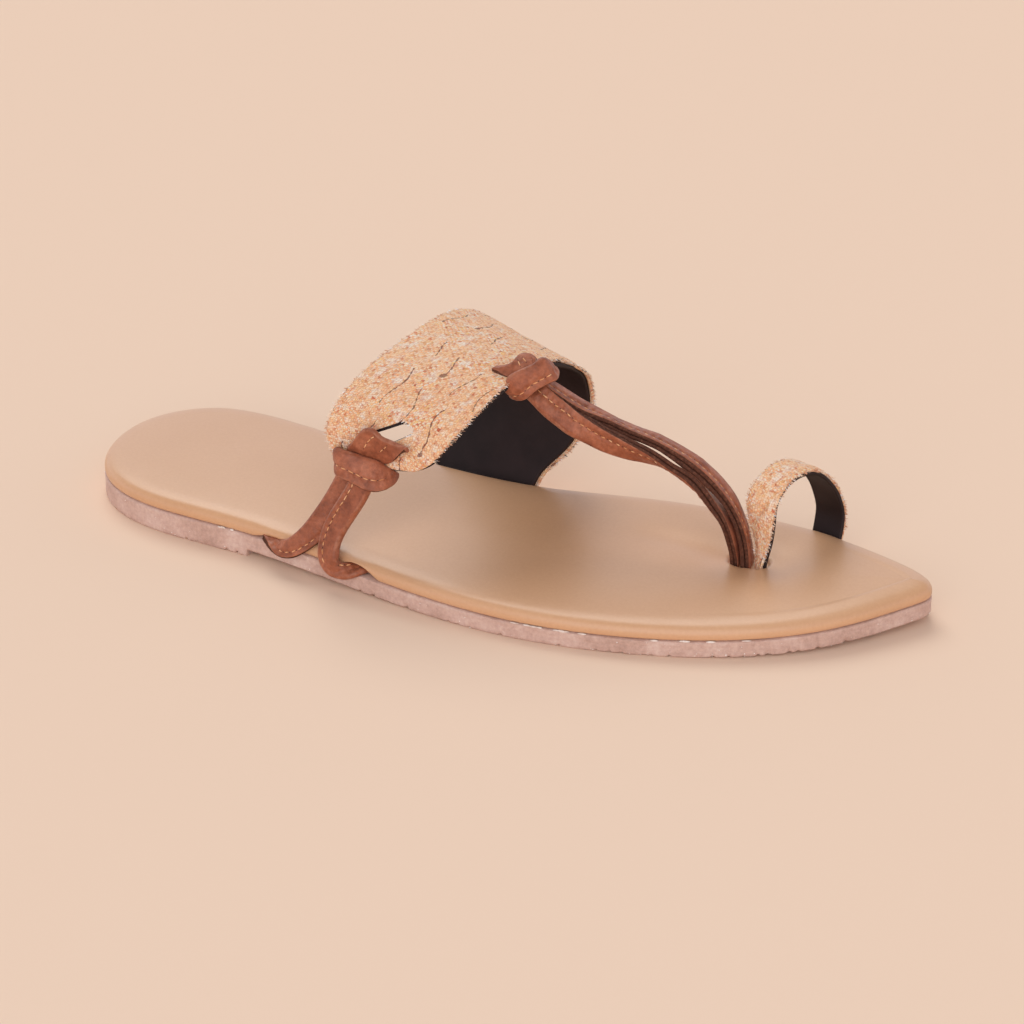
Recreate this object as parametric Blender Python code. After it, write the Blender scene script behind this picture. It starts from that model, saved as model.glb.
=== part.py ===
# Toe-ring chappal, right foot, size 37, about 247 mm long.
# The drawing below is in millimetres: x from the back of the heel to the toe, y towards the big toe
# side, z up from the floor. add_part() turns it into metres and puts the origin under the middle.

import math

import bmesh
import bpy
import numpy as np

MM = 0.001
MIDDLE = np.array([123.5, -0.97, 0.0])  # middle of the shoe's box, seen from above

# Sole
SOLE_LENGTH = 247.0
GAP = 0.3                # between pieces that touch
BED_THICKNESS = 5.0
HEEL_BREAST_X = 69.0     # where the heel's step is
ARCH_END_X = 142.0
ARCH_HEIGHT = 2.0
GROOVE_DEPTH = 0.8
GROOVE_WIDTH = 1.5
GROOVE_PITCH = 8.0

# Upper
BAND_WALL = 2.0
RING_WALL = 1.8
STRAP_THICKNESS = 2.3
HOOK_THICKNESS = 1.6
TUCK_BELOW = 1.5         # room at the seam for what is tucked in, cut in the outsole
TUCK_ABOVE = 3.0         # and in the footbed

# Outline of the sole at even steps of a half turn, heel to toe
# inner side y, outer side y
OUTLINE = (
    (4.0, 4.0),
    (18.8, -14.0),
    (29.0, -28.0),
    (30.6, -35.0),
    (27.2, -36.4),
    (25.0, -38.8),
    (26.8, -43.0),
    (35.4, -43.8),
    (39.6, -37.6),
    (36.8, -26.2),
    (29.6, -10.6),
    (22.4, 6.6),
    (15.6, 15.6),
)

# Heights along the sole
# x, floor side z, seam z
PROFILE = (
    (-10.0, 0.0, 6.9),
    (35.0, 0.0, 6.9),
    (70.0, 0.0, 6.8),
    (90.0, 0.0, 6.15),
    (110.0, 0.0, 5.4),
    (130.0, 0.0, 4.9),
    (150.0, 0.0, 4.6),
    (200.0, 0.0, 4.6),
    (212.0, 0.25, 4.85),
    (225.0, 0.85, 5.4),
    (237.0, 1.7, 6.2),
    (247.0, 2.45, 7.0),
)

# Rounded side of the footbed: inset from the outline, height as a share of its thickness
BED_SIDE = (
    (0.5, 0.0),
    (0.2, 0.14),
    (0.15, 0.36),
    (0.6, 0.6),
    (1.6, 0.8),
    (3.2, 0.94),
)

# Strips are drawn by sections: heel side or far edge x y z, toe side or near edge x y z,
# both on the outer face.
BAND = (
    (97.0, -33.0, 35.6, 122.0, -30.0, 34.6),
    (95.0, -34.6, 41.0, 127.2, -28.8, 39.6),
    (96.2, -34.6, 46.6, 130.0, -24.6, 44.2),
    (98.6, -30.6, 52.8, 133.0, -18.4, 49.2),
    (101.2, -22.4, 57.6, 136.0, -11.4, 53.8),
    (103.6, -10.4, 61.0, 138.6, -2.8, 56.6),
    (105.4, 2.4, 63.0, 139.9, 6.8, 56.2),
    (106.4, 14.0, 62.5, 140.5, 17.6, 52.2),
    (107.0, 25.0, 59.0, 140.5, 27.2, 46.6),
    (106.8, 34.0, 53.2, 139.8, 33.2, 40.2),
    (104.8, 40.0, 44.4, 138.8, 36.0, 31.6),
    (100.6, 41.4, 33.6, 136.2, 35.8, 22.4),
    (95.8, 38.6, 22.4, 132.8, 33.9, 15.4),
    (92.6, 33.6, 13.2, 129.0, 32.0, 10.9),
    (91.4, 30.4, 9.0, 128.0, 30.6, 7.9),
    (91.0, 27.6, 6.3, 127.5, 28.8, 5.3),
    (91.0, 24.0, 5.7, 127.5, 24.8, 4.6),
    (91.0, 18.5, 5.7, 127.5, 19.0, 4.6),
    (91.0, 13.5, 5.7, 127.5, 14.0, 4.6),
)
RING = (
    (200.6, 13.8, 5.0, 201.8, 6.4, 5.0),
    (200.9, 13.8, 9.5, 202.6, 6.7, 9.5),
    (200.0, 12.8, 15.0, 204.6, 7.2, 15.0),
    (197.4, 10.6, 21.0, 204.9, 7.8, 20.0),
    (196.6, 10.6, 27.4, 205.0, 10.0, 25.5),
    (198.2, 15.2, 32.2, 206.0, 14.6, 30.2),
    (200.2, 22.0, 33.9, 208.2, 21.5, 32.6),
    (202.0, 29.0, 32.0, 210.6, 27.8, 31.0),
    (203.6, 35.4, 27.0, 212.4, 33.4, 26.4),
    (204.6, 40.0, 19.5, 213.6, 38.0, 19.4),
    (204.9, 42.4, 13.0, 214.1, 40.2, 13.0),
    (204.9, 41.6, 9.0, 214.2, 39.2, 9.0),
    (204.8, 39.6, 5.4, 214.1, 37.4, 5.7),
    (204.7, 35.5, 4.3, 213.9, 33.5, 4.5),
    (204.6, 29.0, 4.3, 213.7, 27.0, 4.5),
)
HIGH_STRAP = (
    (138.6, 6.0, 51.6, 139.2, -1.0, 51.0),
    (143.6, 7.0, 49.4, 144.2, 0.0, 49.2),
    (150.8, 8.0, 46.2, 151.4, 1.0, 46.4),
    (160.4, 8.8, 43.6, 161.0, 1.8, 44.0),
    (169.6, 9.4, 40.8, 170.3, 2.4, 41.2),
    (177.4, 10.0, 38.0, 178.2, 3.0, 38.3),
    (184.0, 10.7, 34.8, 184.8, 3.7, 35.2),
    (189.2, 11.4, 30.6, 190.0, 4.4, 31.0),
    (193.4, 12.2, 25.2, 194.2, 5.2, 25.4),
    (196.6, 12.9, 18.6, 197.4, 5.9, 18.6),
    (198.6, 13.4, 11.6, 199.3, 6.4, 11.6),
    (199.2, 13.5, 5.0, 199.8, 6.5, 5.0),
)
LOW_STRAP = (
    (138.0, -0.8, 52.6, 138.2, -5.0, 47.0),
    (143.0, -0.8, 50.2, 142.6, -4.2, 44.2),
    (150.6, -0.6, 46.8, 150.4, -4.3, 40.9),
    (159.6, 0.6, 43.4, 160.4, -4.5, 38.8),
    (168.4, 3.6, 39.0, 169.6, -3.2, 39.2),
    (175.8, 6.1, 35.7, 177.6, -0.4, 37.8),
    (182.0, 6.6, 33.4, 184.0, 0.0, 35.4),
    (185.8, 7.4, 31.0, 187.6, 0.9, 32.6),
    (188.8, 8.7, 27.6, 190.4, 2.1, 28.6),
    (191.6, 10.0, 23.6, 192.8, 3.3, 24.3),
    (193.4, 11.2, 19.8, 194.4, 4.5, 20.4),
    (194.8, 12.2, 16.0, 195.6, 5.4, 16.5),
    (195.8, 13.0, 10.4, 196.4, 6.1, 10.6),
    (196.0, 13.2, 5.0, 196.6, 6.3, 5.0),
)
FRONT_LEG = (
    (113.6, -37.6, 7.2, 109.2, -32.4, 7.2),
    (111.2, -39.6, 7.2, 106.8, -34.4, 7.3),
    (108.6, -42.1, 7.1, 104.7, -37.6, 7.5),
    (105.2, -43.6, 4.9, 103.4, -41.2, 8.0),
    (100.6, -44.0, 4.3, 102.8, -43.4, 9.4),
    (97.0, -43.6, 6.8, 102.4, -43.6, 10.8),
    (95.7, -42.6, 11.4, 102.3, -42.9, 13.0),
    (96.4, -40.8, 17.2, 103.4, -41.2, 16.8),
    (99.0, -38.9, 23.2, 106.3, -39.3, 22.2),
    (101.7, -37.2, 28.6, 109.0, -37.4, 27.8),
    (103.2, -36.2, 32.6, 110.4, -36.2, 32.0),
)
BACK_LEG = (
    (75.4, -28.8, 8.4, 71.0, -34.0, 8.5),
    (78.4, -31.2, 8.4, 74.2, -36.6, 8.4),
    (80.8, -34.6, 8.5, 77.2, -39.0, 7.9),
    (82.8, -38.1, 9.6, 81.2, -41.4, 5.9),
    (85.8, -39.8, 11.8, 86.6, -42.2, 6.1),
    (88.8, -39.3, 14.9, 91.6, -41.5, 8.9),
    (91.4, -38.2, 18.8, 96.0, -40.0, 13.0),
    (93.5, -36.9, 22.6, 99.6, -38.2, 17.6),
    (95.2, -35.5, 26.4, 102.2, -36.5, 23.0),
    (96.9, -34.4, 30.4, 104.0, -34.9, 28.6),
    (97.8, -33.8, 32.8, 105.0, -34.0, 31.8),
)

# Knots: a wrap round the straps, a tail flat on the band, and a return through the band's hole.
# Plates are drawn as right, up from their own corner.
SIDE_KNOT_AT = (105.4, -33.9, 32.9)
SIDE_KNOT_ACROSS = (1.0, 0.0, -0.16)
SIDE_KNOT_AXIS = (0.16, 0.1, 1.0)
SIDE_KNOT_HALF = (9.4, 4.0)
SIDE_KNOT_HEIGHT = 8.4
SIDE_TAIL = (
    (-6.0, -2.6),
    (-6.0, 0.9),
    (-3.2, 5.2),
    (-0.8, 6.7),
    (0.9, 6.2),
    (1.9, 5.3),
    (3.4, 4.0),
    (9.8, 3.6),
    (6.8, 0.7),
    (4.4, -2.6),
)
SIDE_HOLE = (
    (-4.2, 2.2),
    (-4.1, 3.4),
    (-3.6, 4.9),
    (-0.1, 5.6),
    (6.8, 8.5),
    (8.3, 7.9),
    (10.1, 6.7),
    (10.0, 4.6),
    (8.2, 2.2),
)
SIDE_TAIL_AT = (108.4, -32.6, 38.4)
SIDE_TAIL_RIGHT = (0.98, 0.2, 0.0)
SIDE_TAIL_UP = (0.03, 0.12, 0.99)
SIDE_HOOK = (
    (105.2, -29.4, 35.5, 108.4, -29.0, 35.5),
    (105.2, -29.5, 39.2, 108.4, -29.1, 39.2),
    (105.2, -30.6, 41.0, 108.4, -30.2, 41.0),
    (105.2, -32.7, 41.1, 108.4, -32.3, 41.1),
    (105.2, -33.4, 39.6, 108.4, -33.0, 39.6),
)

TOP_KNOT_AT = (138.2, -1.6, 53.4)
TOP_KNOT_ACROSS = (0.12, 0.99, -0.03)
TOP_KNOT_AXIS = (0.55, -0.07, -0.83)
TOP_KNOT_HALF = (9.2, 3.4)
TOP_KNOT_HEIGHT = 7.4
TOP_TAIL = (
    (-7.0, -1.0),
    (-7.0, 1.6),
    (-8.2, 4.8),
    (-5.9, 4.6),
    (-3.5, 3.5),
    (-0.8, 3.8),
    (3.0, 3.2),
    (4.5, 1.8),
    (4.4, -1.0),
)
TOP_SLOT = (
    (-4.4, 1.1),
    (-4.4, 4.6),
    (2.6, 4.6),
    (2.6, 1.1),
)
TOP_TAIL_AT = (137.5, -2.0, 57.0)
TOP_TAIL_RIGHT = (0.0, 1.0, 0.0)
TOP_TAIL_UP = (-0.985, 0.0, 0.175)
TOP_HOOK = (
    (138.2, -5.4, 53.5, 138.2, 0.0, 54.4),
    (136.6, -5.4, 53.8, 136.6, 0.0, 54.8),
    (135.1, -5.4, 55.0, 135.1, 0.0, 55.9),
    (135.0, -5.4, 56.1, 135.0, 0.0, 56.9),
    (135.9, -5.4, 57.0, 135.9, 0.0, 57.7),
    (137.4, -5.4, 56.8, 137.4, 0.0, 57.6),
)

TOE_HOLE_AT = (198.7, 10.0)
TOE_HOLE_HALF = (6.8, 5.2)

RUBBER = (0.62, 0.45, 0.38)
TAN = (0.60, 0.40, 0.24)
CLOTH = (0.80, 0.55, 0.36)
LEATHER = (0.26, 0.10, 0.055)


def unit(v):
    v = np.asarray(v, float)
    return v / np.linalg.norm(v, axis=-1, keepdims=True)


def spline(knots, rows, at):
    """Natural cubic spline through the rows, read at the given knot values."""
    knots, rows, at = (np.asarray(v, float) for v in (knots, rows, at))
    step = np.diff(knots)
    slope = np.diff(rows, axis=0) / step[:, None]
    count = len(knots)
    system = np.eye(count)
    right = np.zeros_like(rows)
    for i in range(1, count - 1):
        system[i, i - 1:i + 2] = step[i - 1], 2 * (step[i - 1] + step[i]), step[i]
        right[i] = 6 * (slope[i] - slope[i - 1])
    bend = np.linalg.solve(system, right)
    i = np.clip(np.searchsorted(knots, at) - 1, 0, count - 2)
    h = step[i][:, None]
    a = ((knots[i + 1] - at) / step[i])[:, None]
    b = 1 - a
    line = a * rows[i] + b * rows[i + 1]
    return line + ((a**3 - a) * bend[i] + (b**3 - b) * bend[i + 1]) * h**2 / 6


def outline(turn):
    """Sole outline at each turn: 0 is the heel's back, half a turn is the toe, inner side first."""
    inner = [row[0] for row in OUTLINE]
    outer = [row[1] for row in OUTLINE[1:-1]]
    once = inner + outer[::-1]
    wrapped = np.array(once * 3)[:, None]
    steps = len(once)
    knots = (np.arange(len(wrapped)) - steps) * 2 * math.pi / steps
    y = spline(knots, wrapped, turn)[:, 0]
    return np.column_stack([SOLE_LENGTH / 2 * (1 - np.cos(turn)), y])


def heights(x):
    """Floor side and seam heights of the sole at x."""
    rows = np.array(PROFILE)
    floor, seam = spline(rows[:, 0], rows[:, 1:], np.ravel(x)).T
    return np.maximum(floor, 0.0), seam


TURNS = np.linspace(0, 2 * math.pi, 96, endpoint=False)
EDGE = outline(TURNS)
_tangent = unit(np.roll(EDGE, -1, axis=0) - np.roll(EDGE, 1, axis=0))
INWARD = np.column_stack([_tangent[:, 1], -_tangent[:, 0]])


def ring(inset, share, height):
    """One closed ring of the sole: inset from the edge, share of the way in to its middle line."""
    flat = EDGE + INWARD * inset
    opposite = np.roll(flat[::-1], 1, axis=0)
    flat = flat + (opposite - flat) / 2 * share
    return np.column_stack([flat, height(flat[:, 0])])


def mesh_from(name, points, faces):
    bm = bmesh.new()
    verts = [bm.verts.new((np.asarray(p) - MIDDLE) * MM) for p in points]
    for face in faces:
        bm.faces.new([verts[i] for i in face])
    bmesh.ops.remove_doubles(bm, verts=bm.verts, dist=1e-6)
    bmesh.ops.recalc_face_normals(bm, faces=bm.faces)
    mesh = bpy.data.meshes.new(name)
    bm.to_mesh(mesh)
    bm.free()
    return mesh


def loft(name, rings, zipped=False):
    """Skin over equal rings. A zipped skin closes on its first and last ring without caps."""
    count = len(rings[0])
    points = np.vstack(rings)
    faces = []
    for r in range(len(rings) - 1):
        s = r + 1
        for i in range(count):
            j = (i + 1) % count
            faces.append((r * count + i, r * count + j, s * count + j, s * count + i))
    if not zipped:
        faces.append(tuple(range(count))[::-1])
        faces.append(tuple((len(rings) - 1) * count + i for i in range(count)))
    return mesh_from(name, points, faces)


def strip(name, rows, stations, thickness, edge, lanes=1, spare=0.0):
    """Strip of cloth or leather through the sections, with chamfered long edges.
    Spare is room left all round it, for a cutter."""
    rows = np.array(rows, float)
    middle = (rows[:, :3] + rows[:, 3:]) / 2
    knots = np.r_[0, np.cumsum(np.linalg.norm(np.diff(middle, axis=0), axis=1))]
    line = spline(knots, rows, np.linspace(0, knots[-1], stations))
    a, b = line[:, :3], line[:, 3:]
    along = unit(np.gradient((a + b) / 2, axis=0))
    across = unit(b - a)
    inward = -unit(np.cross(across, along))
    rings = []
    for i in range(stations):
        width = np.linalg.norm(b[i] - a[i])
        face = [edge + (width - 2 * edge) * k / lanes for k in range(lanes + 1)]
        low, high = -spare, thickness + spare
        section = [(u, low) for u in face]
        section += [(width + spare, edge), (width + spare, thickness - edge)]
        section += [(u, high) for u in face[::-1]]
        section += [(-spare, thickness - edge), (-spare, edge)]
        rings.append(np.array([a[i] + across[i] * u + inward[i] * v for u, v in section]))
    rings[0] -= along[0] * spare
    rings[-1] += along[-1] * spare
    return loft(name, rings)


def oval(half, count, power=2.5):
    """Rounded oval, as pairs across and deep."""
    turn = np.linspace(0, 2 * math.pi, count, endpoint=False)
    c, s = np.cos(turn), np.sin(turn)
    return np.column_stack([
        half[0] * np.sign(c) * np.abs(c) ** (2 / power),
        half[1] * np.sign(s) * np.abs(s) ** (2 / power),
    ])


def knot(name, at, across, axis, half, height):
    """Strap wrapped round a knot: a pillow with a round belly and flat ends."""
    axis = unit(axis)
    across = unit(np.asarray(across) - axis * np.dot(across, axis))
    deep = np.cross(axis, across)
    rings = []
    for level, inset in ((-0.5, 1.4), (-0.46, 0.6), (-0.3, 0.0), (0.3, 0.0), (0.46, 0.6), (0.5, 1.4)):
        flat = oval((half[0] - inset, half[1] - inset), 24)
        rings.append(np.array([
            np.asarray(at) + across * u + deep * v + axis * height * level for u, v in flat
        ]))
    return loft(name, rings)


def plate(name, corners, at, right, up, depths):
    """Flat piece cut to the corners, between two depths along its own outward normal."""
    right, up = unit(right), unit(up)
    out = unit(np.cross(right, up))
    rings = [
        np.array([np.asarray(at) + right * u + up * v + out * d for u, v in corners])
        for d in depths
    ]
    return loft(name, rings)


def material(name, colour, roughness):
    mat = bpy.data.materials.new(name)
    mat.use_nodes = True
    shader = mat.node_tree.nodes["Principled BSDF"]
    shader.inputs["Base Color"].default_value = (*colour, 1)
    shader.inputs["Roughness"].default_value = roughness
    shader.inputs["Metallic"].default_value = 0.0
    return mat


def add_part(mesh, mat):
    part = bpy.data.objects.new(mesh.name, mesh)
    bpy.context.scene.collection.objects.link(part)
    mesh.materials.append(mat)
    mesh.shade_smooth()
    mesh.set_sharp_from_angle(angle=math.radians(35))
    return part


def add_helper(mesh):
    helper = bpy.data.objects.new(mesh.name, mesh)
    bpy.context.scene.collection.objects.link(helper)
    helper.hide_render = True
    helper.display_type = "WIRE"
    return helper


def combine(part, helper_mesh, operation):
    step = part.modifiers.new(helper_mesh.name, "BOOLEAN")
    step.operation = operation
    step.solver = "EXACT"
    step.object = add_helper(helper_mesh)


def join(part, helper_mesh):
    combine(part, helper_mesh, "UNION")


def cut(part, helper_mesh):
    combine(part, helper_mesh, "DIFFERENCE")


def make_outsole():
    floor = lambda x: heights(x)[0]
    seam = lambda x: heights(x)[1] - GAP / 2
    rings = [
        ring(3.0, 1.0, floor),
        ring(3.0, 0.5, floor),
        ring(3.0, 0.0, floor),
        ring(1.0, 0.0, floor),
        ring(0.5, 0.0, lambda x: floor(x) + 0.5),
        ring(0.0, 0.0, lambda x: (floor(x) + seam(x)) / 2),
        ring(0.2, 0.0, seam),
        ring(3.0, 0.0, seam),
        ring(3.0, 0.5, seam),
        ring(3.0, 1.0, seam),
    ]
    part = add_part(loft("outsole", rings, zipped=True), material("outsole", RUBBER, 0.6))
    cut(part, arch_cutter())
    cut_pockets(part)
    for i, x in enumerate(groove_places()):
        cut(part, groove_cutter("groove_%02d" % i, x))
    return part


def arch_cutter():
    """Hollow under the waist: high at the heel's step, running out under the ball."""
    rings = []
    for k in np.linspace(0, 1, 9):
        x = HEEL_BREAST_X + (ARCH_END_X - HEEL_BREAST_X) * k
        top = ARCH_HEIGHT * (1 - k) ** 1.4 - 0.02 * k
        rings.append(np.array([(x, -60, -4), (x, 60, -4), (x, 60, top), (x, -60, top)]))
    return loft("arch_cutter", rings)


def groove_places():
    heel = np.arange(10.0, HEEL_BREAST_X - 6, GROOVE_PITCH)
    ball = np.arange(ARCH_END_X + 6, SOLE_LENGTH - 8, GROOVE_PITCH)
    return [*heel, *ball]


def groove_cutter(name, x):
    """Shallow chevron across the tread."""
    slope = 0.35
    rings = []
    for y in (-60.0, 0.0, 60.0):
        at = x - abs(y) * slope
        z = heights(max(at, 0.0))[0][0] + GROOVE_DEPTH
        low, high = at - GROOVE_WIDTH / 2, at + GROOVE_WIDTH / 2
        rings.append(np.array([(low, y, -4), (high, y, -4), (high, y, z), (low, y, z)]))
    return loft(name, rings)


def make_footbed():
    seam = lambda x: heights(x)[1] + GAP / 2
    rings = [ring(3.2, share, seam) for share in (1.0, 0.5, 0.0)]
    for inset, share in BED_SIDE:
        rings.append(ring(inset, 0.0, lambda x, s=share: seam(x) + BED_THICKNESS * s))
    for share in (0.12, 0.4, 0.7, 1.0):
        rings.append(ring(3.2, share, lambda x, s=share: seam(x) + BED_THICKNESS * (0.94 + 0.06 * s**0.5)))
    part = add_part(loft("footbed", rings, zipped=True), material("footbed", TAN, 0.4))
    cut(part, toe_hole_cutter())
    cut_pockets(part)
    return part


def toe_hole_cutter():
    flat = oval(TOE_HOLE_HALF, 24)
    rings = []
    for z in (2.0, 20.0):
        rings.append(np.array([(TOE_HOLE_AT[0] + u, TOE_HOLE_AT[1] + v, z) for u, v in flat]))
    return loft("toe_hole_cutter", rings)


def pocket(name, x_low, x_high, y_side, y_deep, slant=0.0):
    """Room at the seam for a tucked strip, from its place at the side in to y_deep."""
    rings = []
    for share in np.linspace(0, 1, 5):
        x = x_low + (x_high - x_low) * share
        seam = heights(x)[1][0]
        low, high = seam - TUCK_BELOW, seam + TUCK_ABOVE
        deep = x + abs(y_deep - y_side) * slant
        out = x - slant * 8
        y_out = y_side + math.copysign(8, y_side)
        rings.append(np.array([
            (out, y_out, low), (out, y_out, high), (deep, y_deep, high), (deep, y_deep, low)
        ]))
    return loft(name, rings)


def cut_pockets(part):
    """Band, toe ring and both legs of the side strap."""
    cut(part, pocket(part.name + "_band_pocket", 90.2, 128.4, 28.0, 12.5))
    cut(part, pocket(part.name + "_ring_pocket", 203.9, 214.9, 37.0, 26.0))
    cut(part, pocket(part.name + "_front_pocket", 101.3, 111.6, -41.0, -31.5, slant=0.75))
    cut(part, pocket(part.name + "_back_pocket", 73.0, 85.6, -37.6, -28.0, slant=-0.75))


def band_strip(name, spare=0.0):
    return strip(name, BAND, 44, BAND_WALL, 0.35, lanes=4, spare=spare)


def make_band():
    part = add_part(band_strip("upper_band"), material("upper_band", CLOTH, 0.85))
    cut(part, plate("side_hole_cutter", SIDE_HOLE, SIDE_TAIL_AT, SIDE_TAIL_RIGHT, SIDE_TAIL_UP, (-8, 8)))
    cut(part, plate("top_slot_cutter", TOP_SLOT, TOP_TAIL_AT, TOP_TAIL_RIGHT, TOP_TAIL_UP, (-6, 6)))
    return part


def make_ring():
    return add_part(
        strip("upper_toe_ring", RING, 30, RING_WALL, 0.35, lanes=1),
        material("upper_toe_ring", CLOTH, 0.85),
    )


def make_side_strap():
    part = add_part(
        strip("upper_side_strap", FRONT_LEG, 24, STRAP_THICKNESS, 0.7),
        material("upper_side_strap", LEATHER, 0.45),
    )
    join(part, strip("back_leg", BACK_LEG, 24, STRAP_THICKNESS, 0.7))
    join(part, knot("side_knot", SIDE_KNOT_AT, SIDE_KNOT_ACROSS, SIDE_KNOT_AXIS,
                    SIDE_KNOT_HALF, SIDE_KNOT_HEIGHT))
    join(part, plate("side_tail", SIDE_TAIL, SIDE_TAIL_AT, SIDE_TAIL_RIGHT, SIDE_TAIL_UP,
                     (0.0, STRAP_THICKNESS)))
    cut(part, band_strip("side_clearance", GAP))
    join(part, strip("side_hook", SIDE_HOOK, 14, HOOK_THICKNESS, 0.4))
    return part


def make_thong():
    part = add_part(
        strip("upper_toe_thong", HIGH_STRAP, 26, STRAP_THICKNESS, 0.7),
        material("upper_toe_thong", LEATHER, 0.45),
    )
    join(part, strip("low_strap", LOW_STRAP, 26, STRAP_THICKNESS, 0.7))
    join(part, knot("top_knot", TOP_KNOT_AT, TOP_KNOT_ACROSS, TOP_KNOT_AXIS,
                    TOP_KNOT_HALF, TOP_KNOT_HEIGHT))
    join(part, plate("top_tail", TOP_TAIL, TOP_TAIL_AT, TOP_TAIL_RIGHT, TOP_TAIL_UP,
                     (GAP, GAP + STRAP_THICKNESS)))
    cut(part, band_strip("top_clearance", GAP))
    join(part, strip("top_hook", TOP_HOOK, 14, HOOK_THICKNESS, 0.4))
    return part


def main():
    for old in list(bpy.data.objects):
        bpy.data.objects.remove(old, do_unlink=True)
    make_outsole()
    make_footbed()
    make_band()
    make_ring()
    make_side_strap()
    make_thong()


main()
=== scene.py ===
import math
import random
from types import SimpleNamespace

import bmesh
import bpy
import numpy as np
from mathutils import Matrix, Vector, noise
from mathutils.bvhtree import BVHTree
from mathutils.kdtree import KDTree


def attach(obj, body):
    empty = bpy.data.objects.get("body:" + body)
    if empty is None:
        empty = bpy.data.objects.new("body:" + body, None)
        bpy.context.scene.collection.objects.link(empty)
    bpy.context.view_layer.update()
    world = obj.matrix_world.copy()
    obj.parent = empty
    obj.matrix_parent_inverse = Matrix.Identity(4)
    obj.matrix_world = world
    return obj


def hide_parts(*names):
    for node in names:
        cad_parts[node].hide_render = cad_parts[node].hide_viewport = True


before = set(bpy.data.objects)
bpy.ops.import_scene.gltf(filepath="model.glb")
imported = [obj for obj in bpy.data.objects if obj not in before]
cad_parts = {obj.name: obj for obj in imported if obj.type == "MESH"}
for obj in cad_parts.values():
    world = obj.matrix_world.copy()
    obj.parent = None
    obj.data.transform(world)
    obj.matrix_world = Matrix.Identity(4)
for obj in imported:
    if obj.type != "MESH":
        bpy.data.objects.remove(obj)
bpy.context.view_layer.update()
print("frame loaded")

# Drawing sizes are millimetres: x from the back of the heel, y towards the big toe, z up.
mm = 0.001
drawing = {"heelX": -123.5, "lineY": 0.97}


def toFrame(p):
    return Vector(((p[0] + drawing["heelX"]) * mm, (p[1] + drawing["lineY"]) * mm, p[2] * mm))


def toDrawing(p):
    return np.array((p[0] / mm - drawing["heelX"], p[1] / mm - drawing["lineY"], p[2] / mm))


# Curves

def unit(v):
    v = np.asarray(v, float)
    return v / np.linalg.norm(v, axis=-1, keepdims=True)


def smoothThrough(knots, rows, at):
    # natural cubic spline through the rows
    knots, rows, at = (np.asarray(v, float) for v in (knots, rows, at))
    step = np.diff(knots)
    slope = np.diff(rows, axis=0) / step[:, None]
    count = len(knots)
    system = np.eye(count)
    right = np.zeros_like(rows)
    for i in range(1, count - 1):
        system[i, i - 1:i + 2] = step[i - 1], 2 * (step[i - 1] + step[i]), step[i]
        right[i] = 6 * (slope[i] - slope[i - 1])
    bend = np.linalg.solve(system, right)
    i = np.clip(np.searchsorted(knots, at) - 1, 0, count - 2)
    h = step[i][:, None]
    a = ((knots[i + 1] - at) / step[i])[:, None]
    b = 1 - a
    line = a * rows[i] + b * rows[i + 1]
    return line + ((a**3 - a) * bend[i] + (b**3 - b) * bend[i + 1]) * h**2 / 6


def easeStep(low, high, x):
    t = np.clip((np.asarray(x, float) - low) / (high - low), 0, 1)
    return t * t * (3 - 2 * t)


def hump(away, reach, power=2):
    return math.exp(-(away / reach) ** power)


def noiseAt(x, y, z):
    return noise.noise(Vector((x, y, z)))


# Meshes

def addObject(name, data):
    thing = bpy.data.objects.new(name, data)
    bpy.context.scene.collection.objects.link(thing)
    return thing


def addMesh(bm, name, materials=()):
    mesh = bpy.data.meshes.new(name)
    bm.to_mesh(mesh)
    bm.free()
    for material in materials:
        mesh.materials.append(material)
    return addObject(name, mesh)


def newPiece(bm, name, materials, slot):
    piece = addMesh(bm, name, materials)
    piece.data.shade_smooth()
    piece.data.set_sharp_from_angle(angle=math.radians(50))
    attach(piece, "root")
    return piece


def gridSkin(columns, rows, place, mapping=None, closed=False, paint=None):
    # a grid laid out by place(column, row); mapping gives its UV in millimetres, paint its material
    bm = bmesh.new()
    uv = bm.loops.layers.uv.new("cut")
    bmesh.ops.create_grid(bm, x_segments=columns, y_segments=rows, size=1)
    spots = {}
    for v in bm.verts:
        spots[v] = (round((v.co.x + 1) / 2 * columns), round((v.co.y + 1) / 2 * rows))
    for v, spot in spots.items():
        v.co = toFrame(place(*spot))
    for face in bm.faces:
        for loop in face.loops:
            loop[uv].uv = mapping(*spots[loop.vert]) if mapping else spots[loop.vert]
        if paint:
            face.material_index = paint(*np.min([spots[v] for v in face.verts], axis=0))
    if closed:
        bmesh.ops.remove_doubles(bm, verts=bm.verts, dist=1e-6)
    return bm


def borderOf(bm):
    return [e for e in bm.edges if e.is_boundary]


def onlyKind(geometry, kind):
    return [g for g in geometry if isinstance(g, kind)]


def closeEnds(bm):
    bmesh.ops.holes_fill(bm, edges=borderOf(bm), sides=0)
    bmesh.ops.recalc_face_normals(bm, faces=bm.faces)


def stripRun(rows, stations):
    # the strip's two long edges on its outer face, evened out along its length
    rows = np.array(rows, float)
    middle = (rows[:, :3] + rows[:, 3:]) / 2
    knots = np.r_[0, np.cumsum(np.linalg.norm(np.diff(middle, axis=0), axis=1))]
    s = np.linspace(0, knots[-1], stations)
    line = smoothThrough(knots, rows, s)
    a, b = line[:, :3], line[:, 3:]
    along = unit(np.gradient((a + b) / 2, axis=0))
    across = unit(b - a)
    return SimpleNamespace(a=a, across=across, along=along, inward=-unit(np.cross(across, along)),
                           width=np.linalg.norm(b - a, axis=1), s=s, length=knots[-1])


def runAt(run, s, u, v):
    # point at s along the strip, u across it and v into it, and the ways across, along and into it there
    a, across, along, inward = (np.array([np.interp(s, run.s, column) for column in table.T])
                                for table in (run.a, run.across, run.along, run.inward))
    return a + across * u + inward * v, across, along, inward


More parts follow.
